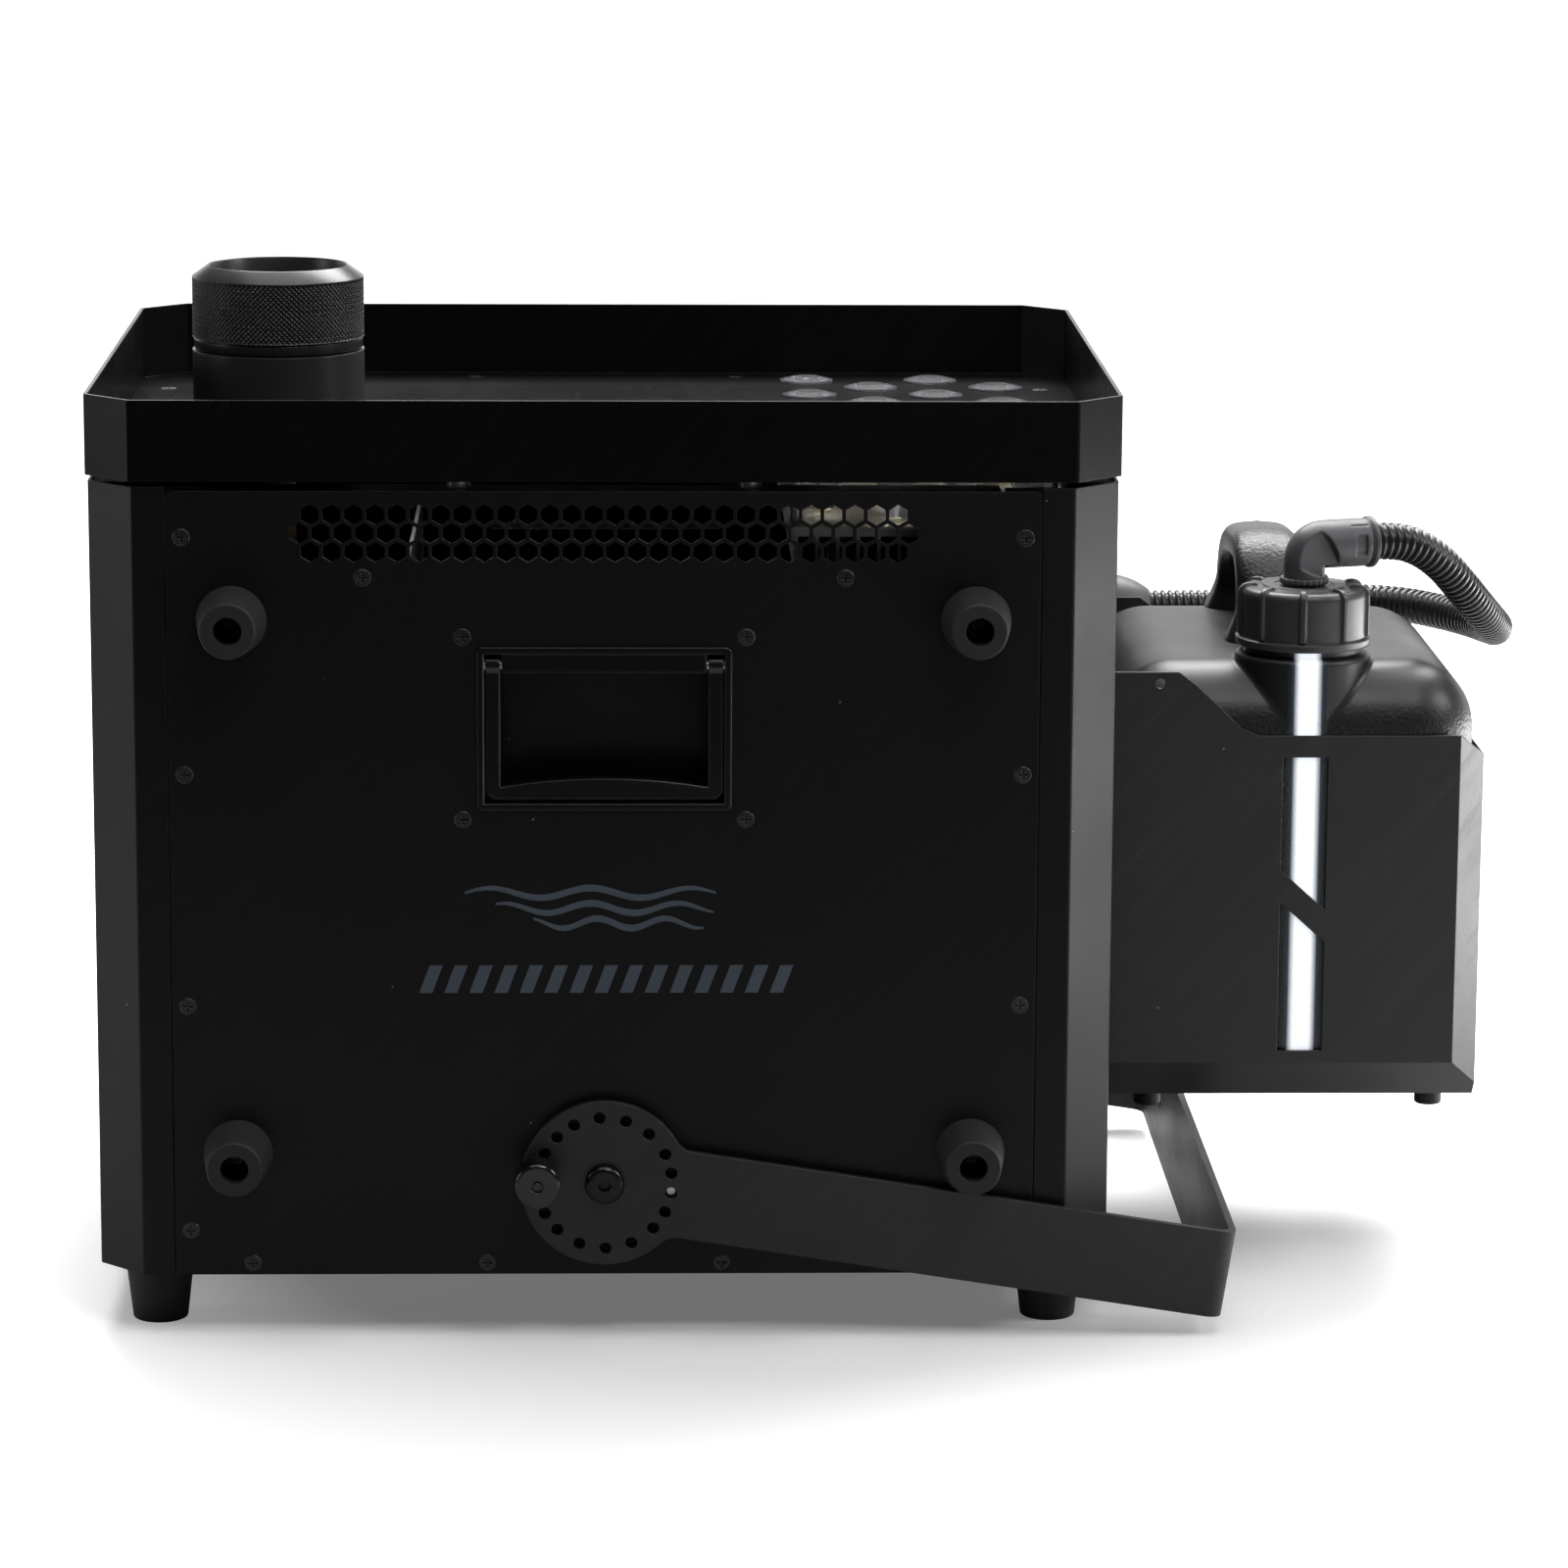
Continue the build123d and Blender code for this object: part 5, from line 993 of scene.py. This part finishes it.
class FOG_OT_marks(bpy.types.Operator):
    """Makes the printed marks on the front panel: drifting lines over a row of slanted bars."""

    bl_idname = "fog_machine.marks"
    bl_label = "Printed marks"

    def execute(self, context):
        """Each mark is a flat ribbon with a thin edge: a wave is a sine line with a taper, a bar is a
        slanted four-cornered strip."""
        parts = []
        for number in range(3):
            share = np.linspace(0.0, 1.0, 160)
            half = (0.053, 0.046, 0.036)[number]
            x = -half + 2 * half * share + (number - 1) * 0.006
            z = 0.1668 - 0.0066 * number + 0.0021 * np.sin(share * 2 * pi * 2.5 + number)
            thick = 0.0015 * np.sin(pi * np.clip(share, 0.02, 0.98)) ** 0.35
            parts.append(self.ribbon(x, z - thick, x, z + thick))
        for number in range(15):
            left = -0.0785 + number * 0.0106
            lean = np.array([0.0, 0.0045])
            height = np.array([0.1235, 0.1355])
            parts.append(self.ribbon(left + lean, height, left + lean + 0.0056, height, upright=True))
        ink = coated("printing_ink", colours().printed_marks, 0.55, grain=2500.0, dust=0.1, streaks=0.3)
        marks = new_mesh("printed_marks", parts, ink, 30.0)
        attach(marks, "root")
        return {"FINISHED"}

    def ribbon(self, x_low, z_low, x_high, z_high, upright=False):
        """A closed thin strip between two edges, from the panel's face outwards."""
        back = panel_face - 0.00001
        face = panel_face - sizes().mark_thickness
        edges = [(x_low, back, z_low), (x_low, face, z_low), (x_high, face, z_high), (x_high, back, z_high)]
        grid = np.stack(
            [np.stack([case_x + x, np.full(len(x), y), case_z + z], axis=-1) for x, y, z in edges], axis=1
        )
        count = len(x_low)
        first = np.array([[0, 1, 2, 3]])
        last = first + (count - 1) * 4
        faces = [grid_faces(count, 4), first, last[:, ::-1]]
        return grid, [face[:, ::-1] for face in faces] if upright else faces


class FOG_OT_stage(bpy.types.Operator):
    """Makes the pale floor, the soft lights and the white surroundings."""

    bl_idname = "fog_machine.stage"
    bl_label = "Stage"

    def execute(self, context):
        material, tree, shader, vector = start_material("floor_paper", {"Roughness": 0.8})
        cloud = noise(tree, vector, 3.0, 3.0)
        paper = two_tones(tree, colours().floor, 1.03, cloud)
        place = add_node(tree, "ShaderNodeSeparateXYZ", {"Vector": vector})
        # Painted light and shade: to bounce light and reflections the floor is dark in front and bright
        # beside the machine, while the camera sees the plain paper.
        lit = remap(tree, place.outputs["Y"], -1.1, 0.0, 0.02, 0.55)
        beside = remap(tree, place.outputs["X"], 0.42, 0.60, 0.0, 0.9)
        lit = arithmetic(tree, "MAXIMUM", lit, beside)
        shade = add_node(tree, "ShaderNodeCombineColor", {"Red": lit, "Green": lit, "Blue": lit}).outputs[0]
        seen = add_node(tree, "ShaderNodeLightPath").outputs["Is Camera Ray"]
        values = {"Factor": seen, 6: shade, 7: paper}
        tone = add_node(tree, "ShaderNodeMix", values, data_type="RGBA").outputs[2]
        tree.links.new(tone, shader.inputs["Base Color"])
        distance = add_node(tree, "ShaderNodeVectorMath", {0: vector}, operation="LENGTH").outputs["Value"]
        glow = arithmetic(tree, "MULTIPLY", remap(tree, distance, 0.22, 0.70, 0.15, 1.0), seen)
        tree.links.new(glow, shader.inputs["Emission Strength"])
        shader.inputs["Emission Color"].default_value = (1.0, 1.0, 1.0, 1.0)
        size = 40.0
        signs = ((-1, -1), (1, -1), (1, 1), (-1, 1))
        corners = np.array([(x * size, y * size, 0.0) for x, y in signs])
        floor = new_mesh("floor", [(corners, [np.array([[0, 1, 2, 3]])])], material)
        self.light("overhead", (0.0, -0.1, 2.7), (0.0, 0.0, 0.0), 2.4, 2.4, 34.0)
        self.light("front_top", (0.6, -1.5, 2.3), (0.0, 0.0, 0.2), 0.9, 0.5, 13.0)
        self.light("rear_bank", (0.25, 1.15, 1.9), (0.0, 0.0, 0.1), 2.2, 1.0, 95.0)
        self.light("right_strip", (0.88, 0.16, 0.10), (0.2, -0.05, 0.12), 0.7, 0.19, 4.3)
        self.light("right_bank", (1.5, -0.35, 1.15), (0.2, 0.0, 0.25), 0.5, 0.5, 9.0)
        self.light("left_bank", (-1.9, -0.25, 0.55), (-0.2, 0.0, 0.25), 0.4, 0.9, 4.0)
        self.surroundings(context.scene)
        context.scene.view_settings.view_transform = "Standard"
        return {"FINISHED"}

    def light(self, name, place, target, width, height, power):
        """A rectangular soft light that faces the target."""
        lamp = bpy.data.lights.new(name, "AREA")
        lamp.shape = "RECTANGLE"
        lamp.size = width
        lamp.size_y = height
        lamp.energy = power
        holder = bpy.data.objects.new(name, lamp)
        bpy.context.scene.collection.objects.link(holder)
        holder.location = place
        holder.rotation_euler = (Vector(target) - Vector(place)).to_track_quat("-Z", "Y").to_euler()

    def surroundings(self, scene):
        """White to the eye. As a light it is dark in front and overhead, and bright low at the rear."""
        world = bpy.data.worlds.new("surroundings")
        scene.world = world
        world.use_nodes = True
        tree = world.node_tree
        tree.nodes.clear()
        seen = add_node(tree, "ShaderNodeLightPath").outputs["Is Camera Ray"]
        heading = tree.nodes.new("ShaderNodeTexCoord").outputs["Generated"]
        parts = add_node(tree, "ShaderNodeSeparateXYZ", {"Vector": heading})
        rear = remap(tree, parts.outputs["Y"], 0.25, 0.75)
        low = remap(tree, parts.outputs["Z"], 0.13, 0.30, 1.0, 0.0)
        power = remap(tree, arithmetic(tree, "MULTIPLY", rear, low), 0.0, 1.0, 0.045, 2.0)
        dim = add_node(tree, "ShaderNodeBackground", {"Color": (1.0, 1.0, 1.0, 1.0), "Strength": power})
        bright = add_node(tree, "ShaderNodeBackground", {"Color": (1.0, 1.0, 1.0, 1.0), "Strength": 1.0})
        mixed = add_node(tree, "ShaderNodeMixShader", {0: seen, 1: dim.outputs[0], 2: bright.outputs[0]})
        add_node(tree, "ShaderNodeOutputWorld", {"Surface": mixed.outputs[0]})


steps = (
    FOG_OT_camera,
    FOG_OT_finishes,
    FOG_OT_hose,
    FOG_OT_elbow,
    FOG_OT_cap,
    FOG_OT_canister,
    FOG_OT_collar,
    FOG_OT_marks,
    FOG_OT_stage,
)


class FOG_PT_panel(bpy.types.Panel):
    """Lists the steps that build the fog machine."""

    bl_idname = "FOG_PT_panel"
    bl_label = "Fog machine"
    bl_space_type = "VIEW_3D"
    bl_region_type = "UI"
    bl_category = "Fog machine"

    def draw(self, context):
        for step in steps:
            self.layout.operator(step.bl_idname)


classes = (FogMachineSizes, FogMachineColours, *steps, FOG_PT_panel)


def register():
    """Registers the classes and hangs the properties on the scene."""
    for entry in classes:
        bpy.utils.register_class(entry)
    bpy.types.Scene.fog_machine_sizes = bpy.props.PointerProperty(type=FogMachineSizes)
    bpy.types.Scene.fog_machine_colours = bpy.props.PointerProperty(type=FogMachineColours)


def unregister():
    """Takes the properties and the classes away again."""
    del bpy.types.Scene.fog_machine_colours
    del bpy.types.Scene.fog_machine_sizes
    for entry in reversed(classes):
        bpy.utils.unregister_class(entry)


def main():
    """Builds everything in order."""
    register()
    for step in steps:
        group, name = step.bl_idname.split(".")
        getattr(getattr(bpy.ops, group), name)()


if __name__ == "__main__":
    main()
